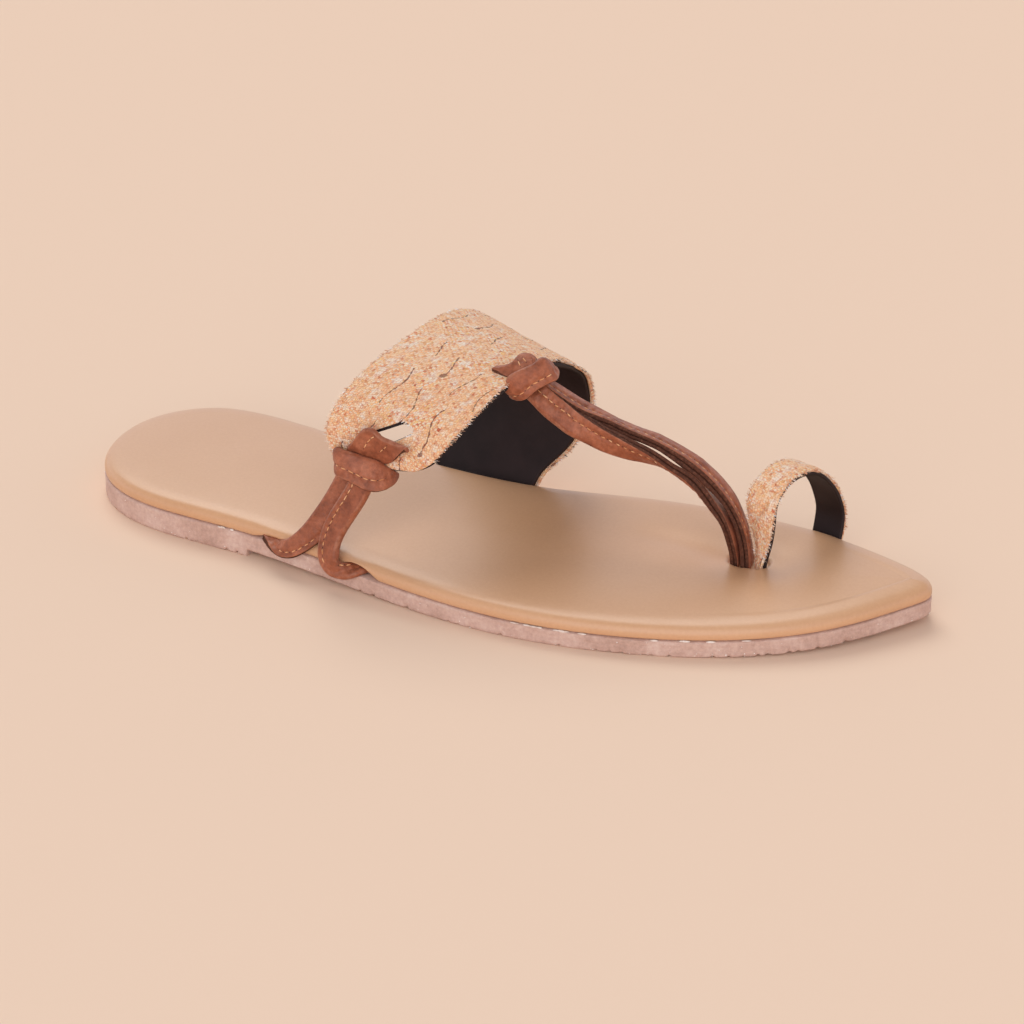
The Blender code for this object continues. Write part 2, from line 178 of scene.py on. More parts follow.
def widthAt(run, s):
    return np.interp(s, run.s, run.width)


def moveTo(p):
    return Matrix.Translation(toFrame(p))


# Materials

def newMaterial(name, base, rough, **values):
    mat = bpy.data.materials.new(name)
    mat.use_nodes = True
    tree = mat.node_tree
    shader = tree.nodes["Principled BSDF"]
    shader.inputs["Base Color"].default_value = (*base, 1)
    shader.inputs["Roughness"].default_value = rough
    for key, value in values.items():
        shader.inputs[key.replace("_", " ")].default_value = value
    return mat, tree, shader


def addNode(tree, kind, **values):
    node = tree.nodes.new("ShaderNode" + kind)
    for key, value in values.items():
        if hasattr(node, key):
            setattr(node, key, value)
        else:
            node.inputs[key.replace("_", " ")].default_value = value
    return node


def plug(tree, socket, value):
    value = getattr(value, "socket", value)
    if isinstance(value, bpy.types.NodeSocket):
        tree.links.new(value, socket)
    else:
        socket.default_value = (*value, 1) if socket.type == "RGBA" else value


def feed(tree, node, *values):
    # values or outputs for the node's inputs, in their order
    for socket, value in zip(node.inputs, values):
        plug(tree, socket, value)
    return node


class Field:
    # an output in a node tree, so that sums of outputs read as sums
    def __init__(self, tree, socket):
        self.tree, self.socket = tree, socket

    def to(self, operation, other=0.0):
        return maths(self.tree, operation, self, other)

    def __add__(self, other):
        return self.to("ADD", other)

    def __radd__(self, other):
        return maths(self.tree, "ADD", other, self)

    def __sub__(self, other):
        return self.to("SUBTRACT", other)

    def __mul__(self, other):
        return self.to("MULTIPLY", other)

    def __truediv__(self, other):
        return self.to("DIVIDE", other)


def maths(tree, operation, first, second):
    node = feed(tree, addNode(tree, "Math", operation=operation), first, second, 0.0)
    return Field(tree, node.outputs[0])


def objectSpot(tree):
    return addNode(tree, "TexCoord").outputs["Object"]


def noiseOn(tree, scale, detail=3, rough=0.6, at=None, stretch=None):
    # grey noise on Object coordinates, or on those given
    source = at or objectSpot(tree)
    if stretch:
        source = feed(tree, addNode(tree, "Mapping", Scale=stretch), source).outputs["Vector"]
    texture = feed(tree, addNode(tree, "TexNoise", Scale=scale, Detail=detail, Roughness=rough), source)
    return Field(tree, texture.outputs["Fac"])


def ramp(tree, source, stops):
    node = addNode(tree, "ValToRGB")
    elements = node.color_ramp.elements
    while len(elements) < len(stops):
        elements.new(1)
    for element, (place, colour) in zip(elements, stops):
        element.position = place
        element.color = (*((colour,) * 3 if isinstance(colour, (int, float)) else colour), 1)
    plug(tree, node.inputs["Fac"], source)
    return Field(tree, node.outputs["Color"])


def mixColour(tree, share, first, second, kind="MIX"):
    node = addNode(tree, "Mix", data_type="RGBA", blend_type=kind)
    for socket, value in ((node.inputs[0], share), (node.inputs[6], first), (node.inputs[7], second)):
        plug(tree, socket, value)
    return Field(tree, node.outputs[2])


def splitUp(tree, source, kind="SeparateXYZ"):
    return [Field(tree, output) for output in feed(tree, addNode(tree, kind), source).outputs]


def addBump(tree, shader, height, distance, strength=1.0, after=None):
    bump = addNode(tree, "Bump", Strength=strength, Distance=distance)
    plug(tree, bump.inputs["Height"], height)
    if after:
        plug(tree, bump.inputs["Normal"], after)
    plug(tree, shader.inputs["Normal"], bump.outputs["Normal"])
    return bump.outputs["Normal"]


def cutSheet(tree):
    # the piece's own cut layout in millimetres: along it, and across it
    return addNode(tree, "UVMap", uv_map="cut").outputs["UV"]


cutEdge = (0.105, 0.036, 0.020)
# One noise gives the tones, a finer one specks them, and each bump is noise, distance and strength.
# Noise is scale, detail, roughness, then the coordinates and their stretch.
surfaces = {
    "brownLeather": {
        "base": (0.315, 0.090, 0.039), "rough": 0.45, "tone": (190, 5, 0.65),
        "tones": ((0.32, (0.195, 0.048, 0.018)), (0.52, (0.315, 0.090, 0.039)), (0.74, (0.435, 0.150, 0.075))),
        "speck": ((900, 3, 0.7), ((0.3, 0.32), (0.7, 0.72)), 0.5), "gloss": ((500, 2), ((0.3, 0.38), (0.7, 0.58))),
        "worn": {"colour": (0.50, 0.22, 0.13), "edge": ((0.0, 1.0), (0.55, 0.25), (1.0, 0.0)),
                 "patches": ((420,), ((0.45, 0.0), (0.68, 0.5)))},
        "pores": (1900, 0.00012, 0.55), "bumps": (((700,), 0.00022, 0.5),),
        "Specular_IOR_Level": 0.38, "Sheen_Weight": 0.05, "Sheen_Roughness": 0.6},
    "cutLeatherEdge": {
        "base": cutEdge, "rough": 0.8, "tone": (1300, 3), "bumps": (((2600, 2), 0.00018, 0.6),),
        "tones": ((0.3, (0.055, 0.02, 0.012)), (0.55, cutEdge), (0.75, (0.2, 0.085, 0.05))),
        "Specular_IOR_Level": 0.25},
    "yellowThread": {
        "base": (0.62, 0.32, 0.12), "rough": 0.6, "tone": (420, 2), "bumps": (((4200, 1), 0.00008, 0.5),),
        "tones": ((0.3, (0.55, 0.2, 0.07)), (0.52, (0.78, 0.40, 0.17)), (0.75, (0.92, 0.62, 0.36))),
        "Sheen_Weight": 0.2},
    # painted shade: near-black discs laid on the leather where the needle holes are
    "needleHoleShade": {
        "base": (0.03, 0.011, 0.007), "rough": 0.8, "tone": (900, 2),
        "tones": ((0.3, (0.02, 0.008, 0.005)), (0.7, (0.06, 0.022, 0.013)))},
    "tanFootbed": {
        "base": (0.61, 0.338, 0.178), "rough": 0.34, "tone": (16, 4),
        "tones": ((0.3, (0.61, 0.338, 0.178)), (0.7, (0.65, 0.374, 0.21))),
        "speck": ((1200, 3, 0.7), ((0.3, 0.46), (0.7, 0.54)), 0.6), "gloss": ((120, 4), ((0.3, 0.32), (0.7, 0.36))),
        "bumps": (((2400,), 0.00006, 0.35), ((90,), 0.0004, 0.12)),
        "Specular_IOR_Level": 0.5, "Coat_Weight": 0.15, "Coat_Roughness": 0.36},
    # the first bump draws the fine lines that the cut left round the side
    "pinkRubber": {
        "base": (0.585, 0.395, 0.33), "rough": 0.6, "tone": (70, 5, 0.65),
        "tones": ((0.3, (0.48, 0.305, 0.245)), (0.5, (0.585, 0.395, 0.33)), (0.72, (0.70, 0.52, 0.45))),
        "speck": ((950, 3, 0.7), ((0.3, 0.4), (0.5, 0.5), (0.72, 0.62)), 0.7),
        "bumps": (((420, 4, 0.6, None, (0.25, 0.25, 2.2)), 0.0005, 0.45), ((1500,), 0.0002, 0.35)),
        "Specular_IOR_Level": 0.35},
    "paleGlue": {
        "base": (0.78, 0.68, 0.62), "rough": 0.45, "tone": (600, 2),
        "tones": ((0.3, (0.66, 0.53, 0.46)), (0.7, (0.86, 0.78, 0.73)))},
    "darkLining": {
        "base": (0.022, 0.011, 0.011), "rough": 0.6, "tone": (60, 4), "bumps": (((1400,), 0.0001, 0.3),),
        "tones": ((0.3, (0.014, 0.0075, 0.0078)), (0.7, (0.03, 0.0165, 0.0165))), "Specular_IOR_Level": 0.25},
}
yarnTones = {
    "creamYarn": ((0.72, 0.5, 0.34), (0.9, 0.7, 0.52)), "peachYarn": ((0.5, 0.24, 0.14), (0.76, 0.42, 0.25)),
    "whiteYarn": ((0.68, 0.6, 0.57), (0.88, 0.84, 0.82)), "duskYarn": ((0.035, 0.032, 0.03), (0.1, 0.095, 0.085)),
}


def surface(name, base, rough, tone, tones, speck=None, worn=None, gloss=None, pores=None, bumps=(), **values):
    mat, tree, shader = newMaterial(name, base, rough, **values)
    colour = ramp(tree, noiseOn(tree, *tone), tones)
    if speck:
        grain, stops, share = speck
        colour = mixColour(tree, share, colour, ramp(tree, noiseOn(tree, *grain), stops), "OVERLAY")
    if worn:
        # rubbed lighter along the edges, where the strap bends over
        grain, stops = worn["patches"]
        nearEdge = splitUp(tree, cutSheet(tree))[1]
        share = ramp(tree, nearEdge, worn["edge"]) * ramp(tree, noiseOn(tree, *grain), stops)
        colour = mixColour(tree, share, colour, worn["colour"])
    plug(tree, shader.inputs["Base Color"], colour)
    if gloss:
        grain, stops = gloss
        plug(tree, shader.inputs["Roughness"], ramp(tree, noiseOn(tree, *grain), stops))
    last = None
    if pores:
        scale, distance, strength = pores
        cells = addNode(tree, "TexVoronoi", Scale=scale, feature="SMOOTH_F1", Smoothness=0.6)
        height = feed(tree, cells, objectSpot(tree)).outputs["Distance"]
        last = addBump(tree, shader, height, distance, strength)
    for grain, distance, strength in bumps:
        last = addBump(tree, shader, noiseOn(tree, *grain), distance, strength, last)
    return mat


weave = {
    "pitch": 0.66, "wander": 1.5,
    # dark strokes: how wide their lanes are, how long a lane's segments, and the stroke and knot in each
    "lane": 7.6, "segment": 19.0, "stroke": 0.15, "from": 0.14, "reach": (0.5, 0.42), "tilt": 0.55,
    "bends": 8.5, "bend": 0.11, "knot": 1.35, "missing": 0.1,
    "cream": (1.0, 0.77, 0.54), "peach": (1.0, 0.53, 0.28), "pale": (1.0, 0.88, 0.77), "warm": (1.0, 0.64, 0.37),
    "red": (0.72, 0.22, 0.12), "dark": (0.20, 0.06, 0.04), "ochre": (1.0, 0.64, 0.27),
    # patches of a few millimetres: colour, noise, its stretch, where they start and how strong they are
    "patches": (("warm", (0.14, 3, 0.6), None, ((0.4, 0.0), (0.56, 0.6)), "MIX"),
                ("pale", (0.3, 4, 0.65), None, ((0.53, 0.0), (0.64, 0.8)), "MIX"),
                ("red", (0.55, 4, 0.65), (1, 1.3, 1), ((0.55, 0.0), (0.67, 0.72)), "MULTIPLY")),
}


def clothMaterial():
    mat, tree, shader = newMaterial("handloomCloth", weave["peach"], 0.85, Specular_IOR_Level=0.2,
                                    Sheen_Weight=0.12, Sheen_Roughness=0.5)
    sheet, pitch, wander = cutSheet(tree), weave["pitch"], weave["wander"]
    # yarns wander a little
    drift = feed(tree, addNode(tree, "TexNoise", Scale=0.7, Detail=4), sheet).outputs["Color"]
    spot = vectorMath(tree, "MULTIPLY_ADD", drift, (wander, wander, 0), sheet)
    cells = [place / pitch for place in splitUp(tree, spot)[:2]]
    waves = [(cell.to("FRACT") * math.pi).to("SINE") for cell in cells]
    parity = (cells[0].to("FLOOR") + cells[1].to("FLOOR")).to("MODULO", 2).to("ABSOLUTE")
    knob = (waves[0] * waves[1]).to("POWER", 0.6)
    snapped = vectorMath(tree, "SNAP", spot, (pitch, pitch, pitch))
    lots = randomLots(tree, snapped)
    warp = ramp(tree, lots[0], ((0.0, weave["cream"]), (0.6, weave["cream"]), (0.8, weave["pale"]),
                                (1.0, weave["ochre"])))
    weft = ramp(tree, lots[1], ((0.0, weave["red"]), (0.17, weave["peach"]), (0.6, weave["peach"]),
                                (0.8, weave["ochre"]), (1.0, weave["pale"])))
    colour = mixColour(tree, parity, warp, weft)
    for tint, grain, stretch, stops, kind in weave["patches"]:
        share = ramp(tree, noiseOn(tree, *grain, at=spot, stretch=stretch), stops)
        colour = mixColour(tree, share, colour, weave[tint], kind)
    uneven = ramp(tree, lots[2], ((0.0, (0.72, 0.42, 0.30)), (0.24, 1.0), (1.0, 1.0)))
    colour = mixColour(tree, 0.6, colour, uneven, "MULTIPLY")
    colour = mixColour(tree, brokenStrokes(tree, sheet, snapped) * 0.85, colour, weave["dark"])
    # painted shade: the colour is darkened in the low gaps between the yarn knobs
    valleyShade = ramp(tree, knob, ((0.1, (0.78, 0.48, 0.36)), (0.5, 1.0)))
    plug(tree, shader.inputs["Base Color"], mixColour(tree, 0.6, colour, valleyShade, "MULTIPLY"))
    fuzz = addBump(tree, shader, noiseOn(tree, 6, 3, 0.7, at=sheet), 0.0003, 0.5)
    addBump(tree, shader, knob, 0.0003, 0.7, fuzz)
    return mat


def vectorMath(tree, operation, *values):
    return feed(tree, addNode(tree, "VectorMath", operation=operation), *values).outputs[0]


def randomLots(tree, place):
    # three random numbers for each place
    lot = feed(tree, addNode(tree, "TexWhiteNoise", noise_dimensions="2D"), place)
    return splitUp(tree, lot.outputs["Color"], "SeparateColor")


def brokenStrokes(tree, sheet, snapped):
    # wavy broken strokes along the band in loose lanes, each with a small knot of dark yarn at one end
    half = addNode(tree, "Mix", data_type="VECTOR")
    for k, value in ((0, 0.35), (4, sheet), (5, snapped)):
        plug(tree, half.inputs[k], value)
    x, y, _ = splitUp(tree, half.outputs[1])
    lane = y / weave["lane"]
    row = lane.to("FLOOR")
    rowLot = addNode(tree, "TexWhiteNoise", noise_dimensions="1D")
    plug(tree, rowLot.inputs["W"], row)
    step = x / weave["segment"] + Field(tree, rowLot.outputs["Value"]) * 7.3
    share = step.to("FRACT")
    lots = randomLots(tree, feed(tree, addNode(tree, "CombineXYZ"), row, step.to("FLOOR")).outputs[0])
    tilt = (lots[0] - 0.5) * weave["tilt"]
    bend = (share * weave["bends"] + lots[1] * 6.0).to("SINE")
    middle = 0.5 + bend * weave["bend"] + tilt * (share - 0.2)
    away = (lane.to("FRACT") - middle) * weave["lane"]
    reach = weave["reach"][0] + lots[2] * weave["reach"][1]
    line = away.to("ABSOLUTE").to("LESS_THAN", weave["stroke"]) * share.to("LESS_THAN", reach)
    line = line * share.to("GREATER_THAN", weave["from"])
    ahead = (share - weave["from"]) * weave["segment"]
    radius = (ahead * ahead + away * away).to("SQRT") + noiseOn(tree, 1.6, 2, at=sheet) * 0.9
    knot = radius.to("LESS_THAN", lots[1] * weave["knot"])
    broken = ramp(tree, noiseOn(tree, 1.2, 2, at=snapped), ((0.3, 0.25), (0.42, 1.0)))
    present = lots[0].to("GREATER_THAN", weave["missing"])
    return (line * broken).to("MAXIMUM", knot * 0.85) * present


leather, cutLeather, thread, needleHoleShade, tan, rubber, glue, lining = (surface(name, **surfaces[name])
                                                                      for name in surfaces)
yarns = [surface(name, pale, 0.85, (800, 3), ((0.3, dark), (0.6, pale)), bumps=(((3500, 2), 0.0001, 0.5),),
                 Sheen_Weight=0.3) for name, (dark, pale) in yarnTones.items()]
cloth = clothMaterial()
print("materials")

# Sole
sole = {
    "length": 247.0,
    "innerY": (4.0, 18.8, 29.0, 30.6, 27.2, 25.0, 26.8, 35.4, 39.6, 36.8, 29.6, 22.4, 15.6),
    "outerY": (4.0, -14.0, -28.0, -35.0, -36.4, -38.8, -43.0, -43.8, -37.6, -26.2, -10.6, 6.6, 15.6),
    "profileX": (-10, 35, 70, 90, 110, 130, 150, 200, 212, 225, 237, 247),
    "floorZ": (0, 0, 0, 0, 0, 0, 0, 0, 0.25, 0.85, 1.7, 2.45),
    "seamZ": (6.9, 6.9, 6.8, 6.15, 5.4, 4.9, 4.6, 4.6, 4.85, 5.4, 6.2, 7.0),
    "seamGap": 0.15,
}
soleLine = np.linspace(-8, sole["length"], 1200)
soleTable = smoothThrough(sole["profileX"], np.column_stack([sole["floorZ"], sole["seamZ"]]), soleLine).T


def soleHeights(x):
    # floor side and seam heights of the sole at x
    return np.maximum(np.interp(x, soleLine, soleTable[0]), 0), np.interp(x, soleLine, soleTable[1])


def soleRing(count):
    # outline of the sole from the heel round the inner side, and the way in from it
    turn = np.linspace(0, 2 * math.pi, count, endpoint=False)
    once = [*sole["innerY"], *sole["outerY"][-2:0:-1]]
    wrapped = np.array(once * 3)[:, None]
    knots = (np.arange(len(wrapped)) - len(once)) * 2 * math.pi / len(once)
    edge = np.column_stack([sole["length"] / 2 * (1 - np.cos(turn)), smoothThrough(knots, wrapped, turn)[:, 0]])
    tangent = unit(np.roll(edge, -1, axis=0) - np.roll(edge, 1, axis=0))
    return edge, np.column_stack([tangent[:, 1], -tangent[:, 0]])


def nearestTo(points):
    tree = KDTree(len(points))
    for k, (x, y) in enumerate(points):
        tree.insert((x, y, 0), k)
    tree.balance()
    return tree


def soleSheet(edge, inward, inset, lanes, heightAt):
    # grid over the sole's outline, its border marked with the place on the ring
    count = len(edge)
    flat = edge + inward * inset

    def place(i, j):
        inner, outer = flat[i], flat[-i % count]
        x, y = inner + (outer - inner) * j / lanes
        return (x, y, heightAt(x, y))

    bm = gridSkin(count // 2, lanes, place, closed=True)
    mark = bm.verts.layers.int.new("ring")
    tree = nearestTo(flat)
    for v in {v for e in borderOf(bm) for v in e.verts}:
        v[mark] = tree.find((*toDrawing(v.co)[:2], 0))[1]
    return bm


def rollSide(bm, border, rows, point):
    # border drawn out row by row, each of an inset and a share; point gives the point for a place on the ring
    mark = bm.verts.layers.int["ring"]
    for row in rows:
        made = bmesh.ops.extrude_edge_only(bm, edges=border)["geom"]
        border = onlyKind(made, bmesh.types.BMEdge)
        for v in onlyKind(made, bmesh.types.BMVert):
            v.co = toFrame(point(v[mark], *row))


# Places where a strip goes into the seam: middle x, half width, side of the sole, how far the cover lifts
slits = ((106.8, 7.6, -1, 2.9), (79.0, 8.0, -1, 1.5), (109.3, 22.0, 1, 1.8), (209.4, 8.0, 1, 1.8))


def slitLift(x, y):
    return max(lift * max(1 - ((x - middle) / half) ** 2, 0) ** 1.4
               for middle, half, side, lift in slits if y * side >= 0)


footbed = {
    "around": 760, "lanes": 96, "thick": 5.0, "rim": 7.0,
    "sag": {"near": 0.15, "far": 0.1, "reach": 14.0},
    # the side from the rim down to the seam: how far in, and the share of the thickness
    "side": ((6.1, 0.988), (5.1, 0.972), (4.2, 0.951), (3.3, 0.922), (2.5, 0.885), (1.85, 0.84), (1.3, 0.78),
             (0.85, 0.7), (0.5, 0.6), (0.26, 0.48), (0.13, 0.37), (0.1, 0.25), (0.16, 0.12), (0.3, 0.04),
             (0.55, 0.0), (9.0, 0.02)),
    "hole": {"x": 197.9, "y": 11.2, "halfX": 5.2, "halfY": 3.9, "square": 2.5, "round": 1.1},
    "dimple": {"depth": 1.15, "reach": 8.5},
    "trough": {"depth": 0.4, "from": 158, "to": 176, "wide": 5.5},
}


def holeLevel(u, v):
    # 1 on the hole's outline, with u and v in shares of its half sizes
    square = footbed["hole"]["square"]
    return (abs(u) ** square + abs(v) ** square) ** (1 / square)


def holeDistance(x, y):
    hole = footbed["hole"]
    level = holeLevel((x - hole["x"]) / hole["halfX"], (y - hole["y"]) / hole["halfY"])
    return (level - 1) * math.hypot(x - hole["x"], y - hole["y"]) / max(level, 1e-6)


def sagAt(y):
    # share of its thickness the pad gives up at the rim, from the outer side to the inner
    sag = footbed["sag"]
    return sag["near"] + (sag["far"] - sag["near"]) * float(easeStep(-20, 30, y))


def makeFootbed():
    edge, inward = soleRing(footbed["around"])
    seam = soleHeights(edge[:, 0])[1] + sole["seamGap"]
    hole, dimple, trough, thick = (footbed[k] for k in ("hole", "dimple", "trough", "thick"))
    tree = nearestTo(edge)

    def topAt(x, y):
        inset = max(tree.find((x, y, 0))[2] - footbed["rim"], 0)
        z = soleHeights(x)[1] + sole["seamGap"] + thick * (1 - sagAt(y) * hump(inset, footbed["sag"]["reach"], 1))
        away = max(holeDistance(x, y), 0)
        z -= dimple["depth"] * hump(away, dimple["reach"])
        if x < hole["x"]:
            z -= trough["depth"] * hump(y - hole["y"], trough["wide"]) * float(
                easeStep(trough["from"], trough["to"], x))
        if away < hole["round"]:
            z -= hole["round"] - math.sqrt(hole["round"] ** 2 - (hole["round"] - away) ** 2)
        return z

    bm = soleSheet(edge, inward, footbed["rim"], footbed["lanes"], topAt)
    rim = borderOf(bm)
    rimSet = set(rim)
    inside = [f for f in bm.faces if holeDistance(*toDrawing(f.calc_center_median())[:2]) < 0]
    bmesh.ops.delete(bm, geom=inside, context="FACES")
    holeEdges = [e for e in borderOf(bm) if e not in rimSet]
    for v in {v for e in holeEdges for v in e.verts}:
        x, y, _ = toDrawing(v.co)
        turn = math.atan2((y - hole["y"]) / hole["halfY"], (x - hole["x"]) / hole["halfX"])
        c, s = math.cos(turn), math.sin(turn)
        level = holeLevel(c, s)
        x, y = hole["x"] + hole["halfX"] * c / level, hole["y"] + hole["halfY"] * s / level
        v.co = toFrame((x, y, topAt(x, y)))
    made = bmesh.ops.extrude_edge_only(bm, edges=holeEdges)["geom"]
    for v in onlyKind(made, bmesh.types.BMVert):
        v.co.z = seam.min() * mm

    def point(k, inset, share):
        x, y = edge[k] + inward[k] * inset
        return (x, y, seam[k] + thick * share * (1 - sagAt(y)) + slitLift(*edge[k]) * (1 - share) ** 1.4)

    rollSide(bm, rim, footbed["side"], point)
    closeEnds(bm)
    piece = newPiece(bm, "footbedCover", [tan], "footbed")
    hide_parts("footbed")


outsole = {
    "around": 1500, "lanes": 56, "rim": 2.2, "arch": (69.0, 142.0), "archHigh": 2.0,
    "groove": {"deep": 0.8, "wide": 1.5, "pitch": 8.0, "slope": 0.35, "soft": 0.3, "spans": ((10, 58), (148, 238))},
    "nicks": (47.8, 51.4, 61.7, 65.2, 108.1, 112.5, 123.6, 136.8, 139.9, 143.3, 152.3, 168.3, 177.9, 181.0,
              184.1, 189.7, 191.3, 195.5, 205.5, 209.1, 212.2, 215.5, 217.5, 222.0, 223.8, 227.7, 233.0),
    "nick": {"wide": 0.42, "deep": 0.45, "high": 1.3}, "worn": 0.1,
    # the side from the floor up to the seam: how far in, and the share of the height
    "side": ((0.45, 0.0), (0.12, 0.035), (0.0, 0.1), (-0.04, 0.2), (-0.02, 0.32), (0.03, 0.45), (0.06, 0.6),
             (0.05, 0.75), (0.02, 0.88), (0.08, 0.96), (0.4, 1.0), (9.0, 1.0)),
    "crumb": {"many": 150, "size": (0.1, 0.26), "long": (0.8, 1.6), "wide": (0.6, 1.0), "high": (0.5, 1.0)},
    # glue beads stand between two x, so many of them
    "bead": {"spans": ((150, 176, 11), (188, 214, 4), (92, 100, 3), (60, 74, 3)), "deep": 0.3, "long": (0.4, 1.5),
             "high": (0.16, 0.34), "inset": 0.15, "above": (-0.03, 0.22)},
}


def archAt(x):
    low, high = outsole["arch"]
    k = (np.asarray(x, float) - low) / (high - low)
    return np.where((k > 0) & (k < 1), outsole["archHigh"] * np.clip(1 - k, 0, 1) ** 1.4, 0)


def grooveAt(x, y):
    cut = outsole["groove"]
    along = x + cut["slope"] * abs(y)
    for low, high in cut["spans"]:
        if low - 2 < along < high + 2:
            near = abs((along - low + cut["pitch"] / 2) % cut["pitch"] - cut["pitch"] / 2)
            half, soft = cut["wide"] / 2, cut["soft"]
            return cut["deep"] * float(1 - easeStep(half - soft, half + soft, near))
    return 0.0


def makeOutsole():
    edge, inward = soleRing(outsole["around"])
    floor, seam = soleHeights(edge[:, 0])
    seam = seam - sole["seamGap"]
    floor = floor + archAt(edge[:, 0])
    nick = outsole["nick"]
    rng = random.Random(5)
    far = [x + rng.uniform(-2, 2) for x in outsole["nicks"]]
    depth = np.zeros(len(edge))
    for side, places in ((-1, outsole["nicks"]), (1, far)):
        for x in places:
            size = rng.uniform(0.5, 1.25) * nick["deep"]
            wide = rng.uniform(0.7, 1.3) * nick["wide"]
            here = size * np.exp(-((edge[:, 0] - x) / wide) ** 2)
            depth = np.maximum(depth, np.where(edge[:, 1] * side > 0, here, 0))

    def bottomAt(x, y):
        return float(soleHeights(x)[0] + archAt(x)) + grooveAt(x, y)

    def point(k, inset, share):
        high = (seam[k] - floor[k]) * share
        bite = depth[k] * hump(high, nick["high"], 4) if share < 1 else 0.0
        worn = outsole["worn"] * noiseAt(*(edge[k] * 0.35), high * 0.7) if 0 < share < 1 else 0.0
        x, y = edge[k] + inward[k] * (inset + bite + worn)
        return (x, y, floor[k] + high + (bite * 0.8 if share < 0.05 else 0))

    bm = soleSheet(edge, inward, outsole["rim"], outsole["lanes"], bottomAt)
    rollSide(bm, borderOf(bm), outsole["side"], point)
    closeEnds(bm)
    piece = newPiece(bm, "outsoleBody", [rubber], "outsole")
    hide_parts("outsole")
    # pale crumbs left by the cut, and glue pressed out of the seam
    bm = bmesh.new()
    crumb, bead = outsole["crumb"], outsole["bead"]
    for _ in range(crumb["many"]):
        k = rng.randrange(len(edge))
        share = rng.choice((rng.uniform(0.05, 0.3), rng.uniform(0.05, 0.95)))
        spot = moveTo((*(edge[k] + inward[k] * 0.02), floor[k] + (seam[k] - floor[k]) * share))
        size = rng.uniform(*crumb["size"]) * mm
        scale = Matrix.Diagonal((*(rng.uniform(*crumb[way]) for way in ("long", "wide", "high")), 1))
        turn = Matrix.Rotation(rng.uniform(0, 6.3), 4, "Z") @ Matrix.Rotation(rng.uniform(0, 3), 4, "X")
        bmesh.ops.create_icosphere(bm, subdivisions=1, radius=size, matrix=spot @ turn @ scale)
    outerSide = [k for k in range(len(edge)) if edge[k][1] <= 0]
    for low, high, many in bead["spans"]:
        for _ in range(many):
            x = rng.uniform(low, high)
            k = min(outerSide, key=lambda k: abs(edge[k][0] - x))
            spot = moveTo((*(edge[k] + inward[k] * bead["inset"]), seam[k] + rng.uniform(*bead["above"])))
            turn = Matrix.Rotation(math.atan2(inward[k][1], inward[k][0]), 4, "Z")
            size = Matrix.Diagonal((bead["deep"], rng.uniform(*bead["long"]), rng.uniform(*bead["high"]), 1))
            bmesh.ops.create_icosphere(bm, subdivisions=2, radius=mm, matrix=spot @ turn @ size)
    newPiece(bm, "seamGlue", [glue], "outsole")


# Cloth band and toe ring. Their rows, like those of the straps, hold the strip's two long edges on its outer face:
# x y z of one edge, then x y z of the other.
band = {
    "name": "band", "node": "upper_band", "stations": 330, "lanes": 72, "clothThick": 0.95, "wall": 2.0,
    # trims at one long edge, then at the other at the strip's start and at its end; the corner rounds off its start,
    # and the cloth is tucked in there by so many stations
    "trims": {"Cloth": (0.0, 0.75, 0.0), "Lining": (0.8, 0.0, 0.9)}, "corner": 6.0, "tuck": 2,
    "rows": (
        (97, -33, 32.6, 122.6, -30.4, 33.1), (95, -34.6, 41, 127.2, -28.8, 39.6),
        (96.2, -34.6, 46.6, 130, -24.6, 44.2), (98.6, -30.6, 52.8, 133, -18.4, 49.2),
        (101.2, -22.4, 57.6, 136, -11.4, 53.8), (103.6, -10.4, 61, 138.6, -2.8, 56.6),
        (105.4, 2.4, 63, 139.9, 6.8, 56.2), (106.4, 14, 62.5, 140.5, 17.6, 52.2), (107, 25, 59, 140.5, 27.2, 46.6),
        (106.8, 34, 53.2, 139.8, 33.2, 40.2), (104.8, 40, 44.4, 138.8, 36, 31.6),
        (100.6, 41.4, 33.6, 135.2, 35.8, 22.4), (95.8, 38.6, 22.4, 130.4, 33.9, 15.4),
        (92.6, 33.6, 13.2, 126.5, 32, 10.9), (91.4, 30.4, 9, 125, 30.6, 7.9), (91, 27.6, 6.3, 124.2, 28.8, 5.3),
        (91, 24, 5.7, 124, 24.8, 4.6),
    ),
    "holeAt": (108.4, -32.6, 38.4), "holeRight": (0.98, 0.2, 0.0), "holeUp": (0.03, 0.12, 0.99), "holeRound": 0.5,
    "holes": (((-4.2, 2.2), (-4.1, 3.4), (-3.6, 4.9), (-0.1, 5.6), (6.8, 8.5), (8.3, 7.9), (10.1, 6.7), (9.8, 5.4),
               (7.4, 4.0), (4.0, 2.2)),
              ((-4.2, 2.2), (-4.1, 3.4), (-3.6, 4.0), (-0.1, 4.6), (6.6, 7.4), (8.2, 7.5), (10.1, 6.6), (9.8, 5.4),
               (7.4, 4.0), (4.0, 2.2))),
    "holeRim": ((6.8, 8.5), (8.3, 7.9), (10.1, 6.7), (9.8, 5.4), (8.6, 4.7)),
    "frayFrom": 0.47, "frayMixes": ((0.5, 0.2, 0.2), (0.5, 0.35, 0.1), (0.5, 0.35, 0.15)),
}
